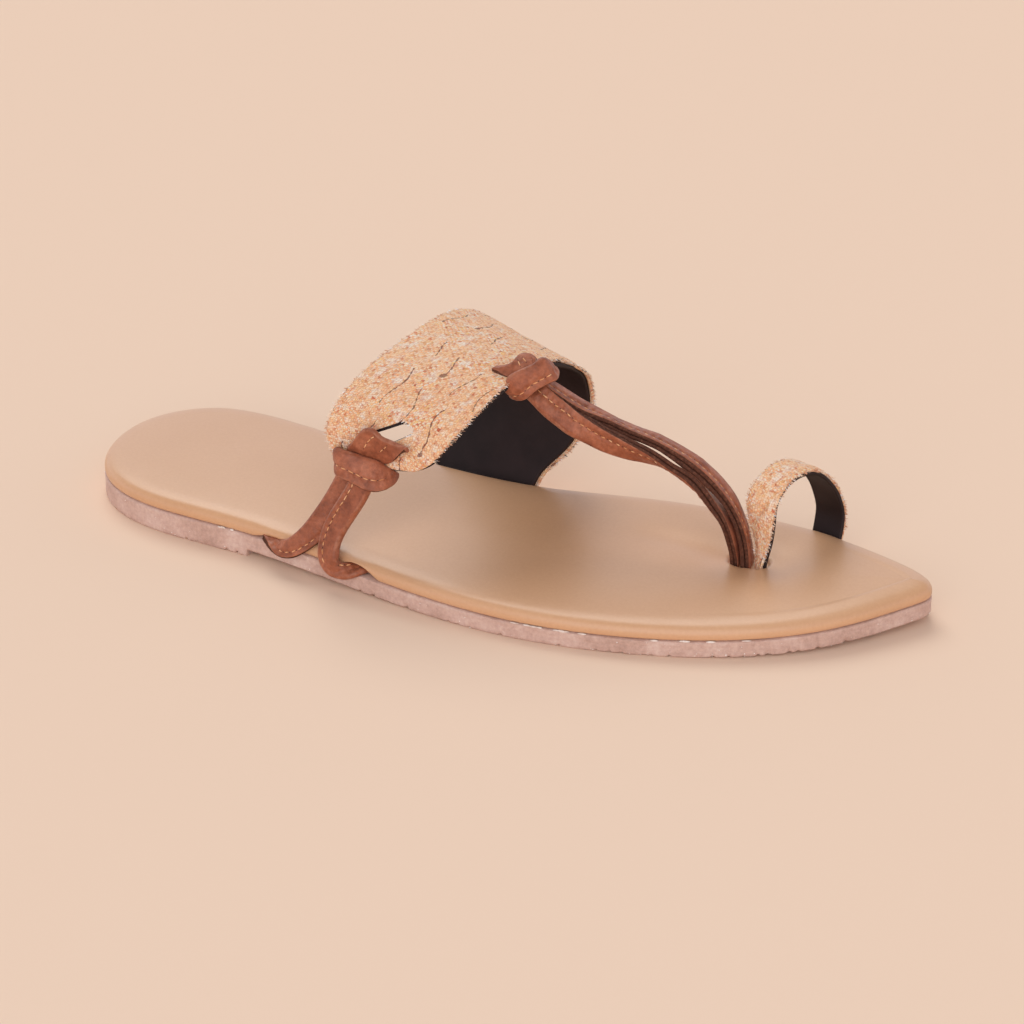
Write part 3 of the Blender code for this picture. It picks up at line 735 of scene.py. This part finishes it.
toeRing = {
    "name": "ring", "node": "upper_toe_ring", "stations": 210, "lanes": 24, "clothThick": 0.85, "wall": 1.8,
    "trims": {"Cloth": (0.1, 0.1, 0.1), "Lining": (0.25, 0.0, 0.0)}, "corner": 0.0, "tuck": 0,
    # the foot of the toe ring is folded in along one line: how far along, how far across
    "crease": {"line": ((5, 1.5), (11, 1.5), (15.1, 2.3), (18.5, 4.5), (21.3, 6.2)), "depth": 0.8, "soft": 2.2,
               "sharp": 0.4, "from": (4, 8), "to": (19.5, 23)},
    "rows": (
        (199.3, 10.6, 5, 202.2, 8, 5), (199.2, 10.6, 9.5, 202.5, 7.9, 9.5), (198.5, 10.6, 14.5, 203.7, 7.9, 14),
        (197, 10.5, 20.5, 204.8, 8.1, 19.7), (196.5, 10.7, 27, 205, 10, 25.3), (198.2, 15.2, 32.2, 206, 14.6, 30.2),
        (200.2, 22, 33.9, 208.2, 21.5, 32.6), (202, 29, 32, 210.6, 27.8, 31), (203.6, 35.4, 27, 212.4, 33.4, 26.4),
        (204.6, 40, 19.5, 213.6, 38, 19.4), (204.9, 42.4, 13, 214.1, 40.2, 13), (204.9, 41.6, 9, 214.2, 39.2, 9),
        (204.8, 39.6, 5.4, 214.1, 37.4, 5.7), (204.7, 35.5, 4.3, 213.9, 33.5, 4.5),
    ),
    "holes": (None, None), "frayMix": (0.5, 0.38, 0.12),
}
clothLook = {"ragged": 0.16, "curl": 0.25, "curlReach": 0.7, "swell": 0.22, "swells": 0.16, "lump": 0.16,
             "lumps": 1.3}


def wallTrims(wall, run, s, layer):
    # how far the cloth or its lining stands in from the two long edges
    first, lastStart, lastEnd = wall["trims"][layer]
    along = float(easeStep(0.44 * run.length, 0.56 * run.length, s))
    corner = wall["corner"]
    cut = corner - math.sqrt(corner**2 - (corner - s) ** 2) if s < corner else 0.0
    return first, lastStart + (lastEnd - lastStart) * along + cut


def creaseDepth(wall, s, u):
    if "crease" not in wall:
        return 0.0
    crease = wall["crease"]
    away = u - np.interp(s, *zip(*crease["line"]))
    fade = float(easeStep(*crease["from"], s) * (1 - easeStep(*crease["to"], s)))
    return crease["depth"] * fade * hump(away, crease["soft"] if away < 0 else crease["sharp"])


def clothLayer(wall, run, layer, material):
    # one layer of the wall, laid on the run at its own depth
    isCloth = layer == "Cloth"
    lanes, stations, look = wall["lanes"], wall["stations"], clothLook
    depth, ragged, lump = (0.0, look["ragged"], look["lump"]) if isCloth else (wall["clothThick"], 0, 0)
    trims = [wallTrims(wall, run, s, layer) for s in run.s]
    rng = random.Random(7)
    rag = [(rng.uniform(0, ragged), rng.uniform(0, ragged)) for _ in run.s]
    # the cloth starts a little after its lining, so the dark lining edges it
    skip = wall["tuck"] if isCloth else 0

    def place(i, j):
        i += skip
        first, last = trims[i][0] + rag[i][0], run.width[i] - trims[i][1] - rag[i][1]
        u = first + (last - first) * j / lanes
        curl = depth + look["curl"] * hump(min(u - first, last - u), look["curlReach"], 1)
        p = run.a[i] + run.across[i] * u + run.inward[i] * curl
        lift = noise.noise(Vector(p) * look["swells"] + Vector((3.1, 7.7, 1.3))) * look["swell"]
        lift += noise.noise(Vector(p) * look["lumps"]) * lump - creaseDepth(wall, run.s[i], u)
        return p - run.inward[i] * lift

    def mapping(i, j):
        i += skip
        first, last = trims[i][0], run.width[i] - trims[i][1]
        return (run.s[i], first + (last - first) * j / lanes)

    bm = gridSkin(stations - 1 - skip, lanes, place, mapping)
    bmesh.ops.recalc_face_normals(bm, faces=bm.faces)
    middle = stations // 2
    start = toFrame(run.a[middle])
    probe = min(bm.faces, key=lambda f: (f.calc_center_median() - start).length)
    if probe.normal.dot(Vector(run.inward[middle])) > 0:
        bmesh.ops.reverse_faces(bm, faces=bm.faces)
    piece = newPiece(bm, wall["name"] + layer, [material], wall["node"])
    step = piece.modifiers.new("wall", "SOLIDIFY")
    step.thickness = (wall["clothThick"] if isCloth else wall["wall"] - wall["clothThick"]) * mm
    step.offset = -1
    return piece


def settle(piece):
    # modifiers applied to the mesh
    mesh = bpy.data.meshes.new_from_object(piece.evaluated_get(bpy.context.evaluated_depsgraph_get()))
    piece.modifiers.clear()
    piece.data = mesh


def holePoint(u, v):
    # place in the flat of the hook's hole, right and up from its middle
    return np.array(band["holeAt"]) + unit(band["holeRight"]) * u + unit(band["holeUp"]) * v


def cutHole(piece, corners):
    out = unit(np.cross(unit(band["holeRight"]), unit(band["holeUp"])))
    bm = bmesh.new()
    low = bm.faces.new([bm.verts.new(toFrame(holePoint(u, v) - out * 8)) for u, v in corners])
    made = bmesh.ops.extrude_face_region(bm, geom=[low])["geom"]
    bmesh.ops.translate(bm, verts=onlyKind(made, bmesh.types.BMVert), vec=Vector(out) * 16 * mm)
    walls = [e for e in bm.edges if abs((e.verts[0].co - e.verts[1].co).normalized().dot(Vector(out))) > 0.9]
    bmesh.ops.bevel(bm, geom=walls, offset=band["holeRound"] * mm, segments=3, profile=0.5, affect="EDGES",
                    material=-1, clamp_overlap=True)
    bmesh.ops.recalc_face_normals(bm, faces=bm.faces)
    cutter = addMesh(bm, "cutter")
    step = piece.modifiers.new("hole", "BOOLEAN")
    step.operation = "DIFFERENCE"
    step.object = cutter
    settle(piece)
    bpy.data.objects.remove(cutter)


def makeWall(wall):
    run = stripRun(wall["rows"], wall["stations"])
    layers = [clothLayer(wall, run, "Cloth", cloth), clothLayer(wall, run, "Lining", lining)]
    for layer, corners in zip(layers, wall["holes"]):
        if corners:
            cutHole(layer, corners)
        else:
            settle(layer)
    return run, layers[0]


fray = {"pitch": 0.68, "stub": (0.16, 0.2), "stubLong": (0.35, 0.95), "stubSpread": 0.35, "fibre": 0.045,
        "fibreLong": (0.5, 1.4), "fibreSpread": 1.1, "taper": 0.6}


def addYarn(bm, point, way, length, radius, kind, sides=6):
    turn = Vector(way).to_track_quat("Z", "Y").to_matrix().to_4x4()
    spot = moveTo(np.asarray(point) + unit(way) * length * 0.35)
    made = bmesh.ops.create_cone(bm, cap_ends=True, segments=sides, radius1=radius * mm,
                                 radius2=radius * fray["taper"] * mm, depth=length * mm, matrix=spot @ turn)
    for face in {f for v in made["verts"] for f in v.link_faces}:
        face.material_index = kind


def frayEdge(bm, wall, run, side, start, stop, rng, mix, depth=0.45):
    # yarn ends and loose fibres along one long edge of the cloth; mix gives the shares of the yarns
    s = start
    while s < stop:
        trim = wallTrims(wall, run, s, "Cloth")
        u = widthAt(run, s) - trim[1] if side > 0 else trim[0]
        for fibre in range(3):
            at = s + rng.uniform(-0.3, 0.3)
            point, across, along, inward = runAt(run, at, u, depth + rng.uniform(-0.25, 0.3))
            spread = fray["stubSpread"] if fibre == 0 else fray["fibreSpread"]
            way = across * side + along * rng.uniform(-spread, spread) + inward * rng.uniform(-spread, spread) * 0.8
            kind = int(np.searchsorted(np.cumsum(mix), rng.random(), side="right"))
            if fibre == 0:
                addYarn(bm, point, way, rng.uniform(*fray["stubLong"]), rng.uniform(*fray["stub"]), kind)
            else:
                addYarn(bm, point, way, rng.uniform(*fray["fibreLong"]), fray["fibre"], kind, 3)
        s += fray["pitch"] * rng.uniform(0.8, 1.2)


def makeBand():
    run, outer = makeWall(band)
    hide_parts("upper_band")
    bm = bmesh.new()
    rng = random.Random(21)
    middle, stop = band["frayFrom"] * run.length, run.length - 12
    farMix, nearMix, backMix = band["frayMixes"]
    frayEdge(bm, band, run, 1, middle, stop, rng, farMix)
    frayEdge(bm, band, run, 1, 5, middle, rng, nearMix, depth=0.3)
    frayEdge(bm, band, run, -1, 1, stop, rng, backMix)
    # loose yarns round the far end of the hook's hole
    skin = bmesh.new()
    skin.from_mesh(outer.data)
    nearest = BVHTree.FromBMesh(skin)
    skin.free()
    right, up = unit(band["holeRight"]), unit(band["holeUp"])
    for (u0, v0), (u1, v1) in zip(band["holeRim"], band["holeRim"][1:]):
        count = int(math.hypot(u1 - u0, v1 - v0) / 0.3)
        for n in range(count):
            t = (n + rng.random()) / count
            spot = nearest.find_nearest(toFrame(holePoint(u0 + (u1 - u0) * t, v0 + (v1 - v0) * t)))[0]
            way = -right * (1 if u1 > 8 else 0.2) - up * (0.9 if v0 > 7 else 0.1)
            way = way + np.array([rng.uniform(-0.5, 0.5) for _ in range(3)])
            long, radius = rng.uniform(0.4, 0.95), rng.uniform(0.1, 0.17)
            addYarn(bm, toDrawing(spot), way, long, radius, rng.choice((2, 2, 2, 0)))
    newPiece(bm, "bandFray", yarns, band["node"])


def makeToeRing():
    run, outer = makeWall(toeRing)
    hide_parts("upper_toe_ring")
    bm = bmesh.new()
    rng = random.Random(22)
    for side in (1, -1):
        frayEdge(bm, toeRing, run, side, 6, run.length - 8, rng, toeRing["frayMix"])
    newPiece(bm, "ringFray", yarns, toeRing["node"])


# Leather straps: a strap is folded once along its length, so it has a round fold and a raw two-layer edge
# hole and holeDeep size the flat discs of painted shade laid at the needle holes
stitching = {"long": 1.55, "vary": (0.85, 1.08), "radius": 0.14, "flat": 0.85, "bow": 0.75, "lift": 0.07,
             "tilt": 0.14, "hole": 0.17, "holeDeep": 0.06}
strapLook = {"spacing": 0.4, "faces": 17, "crown": 0.15, "lines": (), "trough": 0.3, "troughWide": 0.6,
             "pucker": 0.12, "puckerWide": 1.8, "dents": 0.16, "ripples": 0.05, "wave": 0.0, "ragged": 0.1,
             "pitch": 2.2, "edges": ("fold", "raw"), "stitches": ()}
# Edges in section: how far in, and the share of the thickness. The inset of a fold is a share too.
halfTurn = np.linspace(0, math.pi, 12)
edgeShapes = {
    "raw": ((0.35, 0), (0.1, 0.045), (0, 0.15), (0, 0.33), (0.12, 0.425), (0.75, 0.485), (0.75, 0.515),
            (0.12, 0.575), (0, 0.67), (0, 0.85), (0.1, 0.955), (0.35, 1)),
    "fold": tuple(zip(0.42 * (1 - np.sin(halfTurn)), 0.5 * (1 - np.cos(halfTurn)))),
    "cut": ((0.3, 0), (0.1, 0.04), (0.02, 0.12), (0, 0.25), (0, 0.4), (0.01, 0.5), (0.02, 0.6), (0, 0.7), (0, 0.78),
            (0.02, 0.88), (0.1, 0.96), (0.3, 1)),
}


def strapSection(width, thick, look):
    # closed section: u across, v into the strap, and the part of it that each point belongs to
    firstKind, lastKind = look["edges"]
    first, last = ([(inset * (thick if kind == "fold" else 1), depth * thick) for inset, depth in edgeShapes[kind]]
                   for kind in look["edges"])
    low, high = first[0][0], width - last[0][0]
    face = [low + (high - low) * k / look["faces"] for k in range(look["faces"] + 1)]
    points = [(u, 0.0, "face") for u in face]
    points += [(width - inset, depth, lastKind) for inset, depth in last[1:-1]]
    points += [(u, thick, "back") for u in face[::-1]]
    return points + [(inset, depth, firstKind) for inset, depth in first[-2:0:-1]]


def faceDepth(run, look, s, u):
    # how far the outer face lies under the plain strip at s, u
    width, seed = widthAt(run, s), look["seed"]
    v = -look["crown"] * (1 - (2 * u / width - 1) ** 2)
    fade = min(1.0, max(min(u, width - u), 0) / 0.9)
    for line in look["lines"]:
        away = u - (line if line >= 0 else width + line)
        v += fade * look["trough"] * hump(away, look["troughWide"])
        v += fade * look["pucker"] * hump(away, look["puckerWide"]) * math.cos(2 * math.pi * s / look["pitch"])
    v -= fade * look["dents"] * noiseAt(s * 0.22 + seed, u * 0.4, seed)
    return v - fade * look["ripples"] * noiseAt(s * 1.1, u * 1.3, seed)


def waveAt(look, s):
    return look["wave"] * noiseAt(s * 0.09, look["seed"] * 1.7, 0.4)


def strapPiece(name, strap):
    look = {**strapLook, "seed": sum(map(ord, name)) * 0.37, **strap}
    stations = max(int(stripRun(look["rows"], 2).length / look["spacing"]), 12)
    run = stripRun(look["rows"], stations)
    thick = np.interp(run.s, *zip(*look["thick"]))
    sections = [strapSection(width, t, look) for width, t in zip(run.width, thick)]
    around = len(sections[0])

    def place(i, j):
        u, v, part = sections[i][j % around]
        s = run.s[i]
        if part == "face":
            v += faceDepth(run, look, s, u)
        elif part in ("raw", "cut"):
            u += look["ragged"] * noiseAt(s * 1.2, v * 0.6, look["seed"]) * (1 if u > 2 else -1)
        return run.a[i] + run.across[i] * u + run.inward[i] * (v + waveAt(look, s))

    def mapping(i, j):
        u, v, part = sections[i][j % around]
        near = max(min(u, run.width[i] - u), 0)
        return (run.s[i], near if part in ("face", "back") else 0.0)

    def paint(i, j):
        parts = {sections[i][j % around][2], sections[i][(j + 1) % around][2]}
        return int(parts in ({"raw"}, {"cut"}))

    bm = gridSkin(stations - 1, around, place, mapping, closed=True, paint=paint)
    closeEnds(bm)
    return newPiece(bm, name, [leather, cutLeather], look["node"]), run, look


def stitchRow(bm, holes, run, look, start, stop):
    # thread on the face, with flat dark discs of painted shade for the needle holes between its stitches
    far = run.length - 0.8
    (s0, u0), (s1, u1) = ((min(s, far), u) for s, u in (start, stop))
    rng = random.Random(round(s0 * 7 + u0 * 31 + s1))

    def across(s, u):
        return u if u >= 0 else widthAt(run, s) + u

    def onFace(t, lift):
        s = s0 + (s1 - s0) * t
        u = across(s, u0) + (across(s, u1) - across(s, u0)) * t
        return runAt(run, s, u, faceDepth(run, look, s, u) + waveAt(look, s) - lift)

    ends = np.array([onFace(t, 0)[0] for t in np.linspace(0, 1, 30)])
    count = max(round(np.linalg.norm(np.diff(ends, axis=0), axis=1).sum() / look["pitch"]), 1)
    thin, hole = stitching["radius"] * mm, stitching["hole"] * mm
    flat = Matrix.Diagonal((hole, hole, stitching["holeDeep"] * mm, 1))
    for n in range(count):
        t = (n + 0.5) / count
        point, *_, inward = onFace(t, stitching["lift"])
        way = unit(onFace(min(t + 0.02, 1), 0)[0] - onFace(max(t - 0.02, 0), 0)[0])
        side = unit(np.cross(-inward, way))
        turn = Matrix(np.column_stack([way, side, np.cross(way, side)])).to_4x4()
        tilt = Matrix.Rotation(rng.uniform(-stitching["tilt"], stitching["tilt"]), 4, "Z")
        long = stitching["long"] * rng.uniform(*stitching["vary"]) / 2 * mm
        size = Matrix.Diagonal((long, thin, thin * stitching["flat"], 1))
        made = bmesh.ops.create_uvsphere(bm, u_segments=8, v_segments=8, radius=1)["verts"]
        for v in made:
            x, y, reach = v.co
            v.co = (reach, x, y - stitching["bow"] * reach * reach)
        bmesh.ops.transform(bm, matrix=moveTo(point) @ turn @ tilt @ size, verts=made)
        # at both ends of the stitch, a flat near-black disc: painted shade standing in for the needle hole
        for end in (-0.47, 0.47):
            point = onFace(np.clip(t + end / count, 0, 1), -0.02)[0]
            bmesh.ops.create_uvsphere(holes, u_segments=7, v_segments=4, radius=1,
                                      matrix=moveTo(point) @ turn @ flat)


# Thickness is given at places along a strap. Lines are its stitch troughs, u from one edge or minus from the other,
# and stitches run from one (s, u) to another.
straps = {
    "thongHigh": {
        "node": "upper_toe_thong", "lines": (-2.3,), "wave": 0.25,
        "thick": ((0, 3.0), (18, 2.9), (24, 2.3), (38, 2.3), (46, 3.1), (54, 3.0), (61, 2.4), (90, 2.4)),
        "stitches": (((3, -2.3), (74, -2.3)),),
        "rows": (
            (138.8, 5, 53.2, 140, -1.6, 53.9), (141.5, 5.6, 51.9, 142.9, -1.2, 52.5),
            (147, 6.6, 49, 148.2, -0.3, 49.4), (153, 7.2, 46.3, 153.9, 0.3, 46.9), (158.9, 7.7, 44, 160, 0.9, 45.5),
            (165.1, 8.2, 42.2, 166, 1.4, 43.7), (171, 8.7, 40.9, 172, 1.9, 42), (177, 9.2, 39.1, 177.9, 2.3, 40),
            (182.5, 9.7, 36.9, 183.5, 2.8, 37.6), (187.1, 10.2, 33.9, 188.5, 3.3, 34.2),
            (190.8, 11.1, 29.9, 192.5, 4.3, 29.6), (193.9, 12.3, 24.6, 196, 5.6, 23.9),
            (196, 13.6, 18, 198.1, 6.8, 17.5), (197.5, 14.4, 11, 199.1, 7.7, 10.6),
            (198.2, 14.4, 5.4, 199.3, 7.8, 5.3))},
    "thongLow": {
        "node": "upper_toe_thong", "lines": (2.3,), "wave": 0.25, "edges": ("raw", "fold"),
        "thick": ((0, 3.0), (19, 3.0), (27, 2.2), (46, 2.2), (54, 2.8), (60, 2.6), (66, 2.2), (90, 2.4)),
        "stitches": (((4, 2.3), (74, 2.3)),),
        "rows": (
            (138.6, -0.8, 54.2, 135.2, -4.3, 52), (141.3, -1, 53, 138.1, -4.6, 49.9),
            (143.8, -1.2, 51.8, 141.1, -4.9, 47.6), (146, -1.4, 50.5, 144.1, -5.1, 45.4),
            (148.2, -1.6, 49.4, 147.1, -5.1, 43.6), (150.4, -1.8, 48.3, 149.8, -4.9, 41.9),
            (153.5, -2.1, 46.6, 152.8, -3.9, 39.9), (156.6, -2.4, 45.4, 155.5, -2.9, 38.5),
            (159.7, -2.6, 44.2, 158.5, -2.3, 37.3), (162.7, -2.7, 43.1, 161.4, -1.6, 36.3),
            (165.6, -2.6, 42, 164.2, -0.7, 35.4), (168.4, -2.4, 40.8, 167, 0.6, 34.6),
            (171.2, -2.1, 39.6, 169.4, 1.9, 34.1), (173.9, -1.6, 38.2, 171.9, 3.2, 33.5),
            (176.5, -1, 36.5, 174, 4.4, 32.9), (179.2, -0.4, 34.8, 176.3, 5.2, 31.8),
            (181.8, 0.2, 33.4, 178.7, 5.8, 30.5), (184.5, 0.8, 31.4, 181, 6.4, 29),
            (187.2, 1.4, 28.4, 183.7, 7.3, 27), (189.8, 2.3, 24.7, 186.7, 8.6, 24.3),
            (191.8, 3.2, 21.6, 189.3, 9.7, 22.3), (192.9, 4.2, 18.3, 191.4, 10.8, 20),
            (193.4, 5.7, 14.3, 192.9, 12.1, 16.7), (193.6, 7.4, 9.7, 193.2, 14, 11.5),
            (193.8, 7.8, 5.7, 193.5, 14.6, 6.3))},
    "topWrap": {
        "node": "upper_toe_thong", "lines": (-2.1,), "thick": ((0, 1.9),), "crown": 0.2,
        "stitches": (((5.6, -2.0), (19.5, -2.0)),),
        "rows": (
            (133.6, -3.5, 50.4, 134.6, -3.2, 47.9), (132.6, -7.4, 52.3, 135.9, -6.2, 48.6),
            (134.3, -9.5, 53.2, 138.5, -7.6, 49.3), (135.7, -9.8, 55.8, 140.8, -7.7, 50.6),
            (137, -8.6, 57.3, 142.5, -6.3, 52.4), (139.7, -6.4, 58.7, 144, -4.9, 53.5),
            (141.5, -4.4, 59.9, 145.5, -3.4, 54.4), (142.1, -2.4, 60.8, 146.4, -1.9, 54.8),
            (142.3, 0.3, 59.9, 146, 0.4, 55), (142.2, 3.3, 57.5, 144.6, 3.3, 55.1),
            (140.9, 6.6, 55.1, 141.9, 6.3, 53.7))},
    "topTab": {
        "node": "upper_toe_thong", "thick": ((0, 1.6),), "edges": ("cut", "cut"), "pitch": 1.75,
        "stitches": (((8.2, 1.3), (8.3, 3.9)), ((9.9, 1.6), (10.3, 3.8))),
        "rows": (
            (130.4, -8.4, 57.6, 130.6, -8.7, 57.4), (131.1, -7.2, 57.9, 132.3, -8.7, 57.2),
            (132.4, -6.2, 58.1, 133.9, -8.6, 56.4), (133.5, -5.3, 58.3, 135.7, -8.3, 55.7),
            (134.3, -4.4, 58.6, 136.8, -8.1, 55.2), (134.4, -3.3, 59, 137.8, -6.9, 55.6),
            (134.5, -1.6, 59.6, 138.8, -5.5, 56.6), (135, -0.5, 60, 139.7, -4.1, 57.2),
            (136.2, 0.1, 60.1, 140.5, -3, 57.7), (138, 0.2, 59.9, 141.1, -1.9, 58.1),
            (139.3, 0, 59.3, 141, -1.9, 58.2), (139.9, -0.9, 58.8, 140.6, -1.9, 57.9))},
    "topHook": {
        "node": "upper_toe_thong", "thick": ((0, 1.6),), "edges": ("cut", "cut"), "dents": 0.05,
        "rows": (
            (138.2, -5.4, 53.3, 138.2, 0, 54.2), (136.6, -5.4, 53.5, 136.6, 0, 54.5),
            (135.1, -5.4, 54.6, 135.1, 0, 55.5), (135.2, -5.2, 55.4, 135.2, -0.2, 56.2))},
    "legFront": {
        "node": "upper_side_strap", "lines": (2.1,), "wave": 0.1, "edges": ("fold", "fold"),
        "thick": ((0, 1.5), (7, 1.8), (13, 2.5), (99, 2.5)),
        "stitches": (((12.8, 2.1), (37, 2.1)), ((5.2, 3.6), (9.4, 3.9))),
        "rows": (
            (110.6, -38.6, 7.4, 106.4, -33.8, 7.6), (109, -41, 7.1, 104.9, -36.8, 7.8),
            (106.9, -42.9, 5.8, 103.8, -39.6, 8.2), (103.7, -44, 4.5, 103, -42.2, 8.9),
            (100, -44, 4.5, 102.6, -43.5, 9.9), (97, -43.6, 6.8, 102.4, -43.6, 10.8),
            (95.7, -42.6, 11.4, 102.3, -42.9, 13), (96.4, -40.8, 17.2, 103.4, -41.2, 16.8),
            (99, -38.9, 23.2, 106.3, -39.3, 22.2), (101.7, -37.2, 28.6, 109, -37.4, 27.8),
            (103.2, -36.2, 32.6, 110.4, -36.2, 32))},
    "legBack": {
        "node": "upper_side_strap", "lines": (-1.5,), "wave": 0.1, "thick": ((0, 2.4),),
        "stitches": (((8.5, -1.5), (20.5, -1.5)),),
        "rows": (
            (78.4, -31.2, 8.4, 74.2, -36.6, 8.4), (80.8, -34.6, 8.5, 77.2, -39, 7.9),
            (82.8, -38.1, 9.6, 81.2, -41.4, 5.9), (85.8, -39.5, 11.8, 86.6, -41.9, 6.1),
            (88.8, -38.6, 14.9, 91.6, -40, 8.9), (91.4, -37.2, 18.8, 96, -37.4, 13),
            (93.5, -35.7, 22.6, 99.6, -35.2, 17.6), (95.2, -34.2, 26.4, 102.2, -33.4, 23),
            (96.9, -33.1, 30.4, 104, -31.8, 28.6), (97.8, -32.5, 32.8, 105, -31.1, 31.8))},
    "sideWrap": {
        "node": "upper_side_strap", "lines": (-3.0,), "thick": ((0, 1.9),), "crown": 0.22,
        "stitches": (((6.4, -3.0), (23.6, -3.0)),),
        "rows": (
            (98.5, -29.6, 36.4, 99.6, -31, 29.8), (97.1, -32.4, 37.3, 98.6, -34.8, 30.4),
            (97.4, -35.2, 38.2, 99.3, -37.8, 31.8), (98.9, -36.7, 39.1, 101, -39.6, 32.3),
            (101.4, -37.2, 39.2, 104, -40.2, 32), (104.9, -36.4, 38.6, 106.9, -39.8, 31),
            (108.1, -35.4, 37.6, 109.8, -38.7, 29.6), (110.4, -34, 36.7, 112.3, -37.2, 29.3),
            (112, -32.5, 35.2, 113.9, -34.9, 29.5), (113.1, -30.3, 33.4, 114.5, -31.5, 30.1),
            (112.9, -28.1, 32, 113.4, -28.6, 30))},
    "sideTab": {
        "node": "upper_side_strap", "thick": ((0, 1.5),), "edges": ("fold", "cut"), "pitch": 1.75,
        "stitches": (((9.6, 1.6), (5.6, 5.2)), ((12.9, 1.3), (10.2, 5.9))),
        "rows": (
            (101.5, -35.3, 38.5, 101.7, -35.2, 37.6), (103.2, -35.8, 40.4, 102.8, -34.1, 35.6),
            (104.7, -36.1, 42.6, 104.6, -34.2, 34.9), (106.2, -36.2, 44.3, 106.4, -34.2, 34.4),
            (108.2, -36.2, 45.6, 108.3, -33.2, 34.6), (109.8, -36.1, 45.8, 109.9, -32.6, 35),
            (111, -35.9, 44.9, 111.3, -32.4, 35), (112.3, -35.5, 43.7, 112.5, -32.2, 35.3),
            (113.8, -35, 43, 113.7, -32.4, 36), (115.6, -34.5, 42.6, 114.9, -33.6, 37.2),
            (117.4, -34, 42.3, 116.4, -34.4, 39), (119.1, -33.5, 42.2, 118.6, -34.2, 41.6))},
    "sideHook": {
        "node": "upper_side_strap", "thick": ((0, 1.6),), "edges": ("cut", "cut"), "dents": 0.05,
        "rows": (
            (105.2, -29.4, 35.5, 108.4, -29, 35.5), (105.2, -29.5, 39.2, 108.4, -29.1, 39.2),
            (105.2, -30.6, 41, 108.4, -30.2, 41), (105.2, -32.7, 41.1, 108.4, -32.3, 41.1),
            (105.2, -33.4, 39.6, 108.4, -33, 39.6))},
}


def makeStraps():
    made = {}
    sets = {node: (name, bmesh.new(), bmesh.new())
            for node, name in (("upper_toe_thong", "thong"), ("upper_side_strap", "side"))}
    for name, strap in straps.items():
        made[name], run, look = strapPiece(name, strap)
        for start, stop in look["stitches"]:
            stitchRow(*sets[look["node"]][1:], run, look, start, stop)
    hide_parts("upper_toe_thong")
    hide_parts("upper_side_strap")
    for node, (name, stitches, holes) in sets.items():
        newPiece(stitches, name + "Stitches", [thread], node)
        # the needle-hole pieces are dark discs of painted shade
        newPiece(holes, name + "NeedleHoleShade", [needleHoleShade], node)


# Floor, lights and camera
studio = {
    "floorSize": 6.0, "floorColour": (0.86, 0.655, 0.51),
    "sky": ((0.0, (0.98, 0.93, 1.0)), (0.37, (0.98, 0.93, 1.0)),
            (0.47, (0.33, 0.325, 0.34)), (1.0, (0.33, 0.325, 0.34))),
    "suns": {"key": {"from": (-0.55, 0.55, 1.0), "strength": 1.3, "angle": 40, "colour": (1.0, 0.985, 0.95)},
             "fill": {"from": (0.3, -0.85, 0.5), "strength": 1.25, "angle": 60, "colour": (1.0, 0.98, 0.95)}},
    "camera": {"at": (409.1, -510.4, 283.4), "turn": 28.5, "tilt": 25.0, "lens": 82.23, "sensor": 36},
}


def aimFrom(thing, back):
    # turned so that its back points that way
    thing.rotation_euler = (-Vector(back)).to_track_quat("-Z", "Y").to_euler()


def makeStudio():
    bm = bmesh.new()
    bmesh.ops.create_grid(bm, x_segments=1, y_segments=1, size=studio["floorSize"] / 2)
    floor = addMesh(bm, "floor", [newMaterial("paleFloor", studio["floorColour"], 1.0, Specular_IOR_Level=0.0)[0]])
    world = bpy.data.worlds.new("studio")
    world.use_nodes = True
    tree = world.node_tree
    up = splitUp(tree, addNode(tree, "TexCoord").outputs["Generated"])[2]
    plug(tree, tree.nodes["Background"].inputs["Color"], ramp(tree, up, studio["sky"]))
    bpy.context.scene.world = world
    for name, lamp in studio["suns"].items():
        sun = bpy.data.lights.new(name, "SUN")
        sun.energy, sun.color, sun.angle = lamp["strength"], lamp["colour"], math.radians(lamp["angle"])
        aimFrom(addObject(name, sun), lamp["from"])
    view = studio["camera"]
    turn, tilt = math.radians(view["turn"]), math.radians(view["tilt"])
    lens = bpy.data.cameras.new("camera")
    lens.lens, lens.sensor_width, lens.clip_start = view["lens"], view["sensor"], 0.01
    camera = addObject("camera", lens)
    camera.location = toFrame(view["at"])
    aimFrom(camera, (math.sin(turn) * math.cos(tilt), -math.cos(turn) * math.cos(tilt), math.sin(tilt)))
    bpy.context.scene.camera = camera


bpy.context.scene.view_settings.view_transform = "Standard"
for stage, make in (("studio", makeStudio), ("footbed", makeFootbed), ("outsole", makeOutsole), ("band", makeBand),
                    ("toe ring", makeToeRing), ("straps", makeStraps)):
    make()
    print(stage)
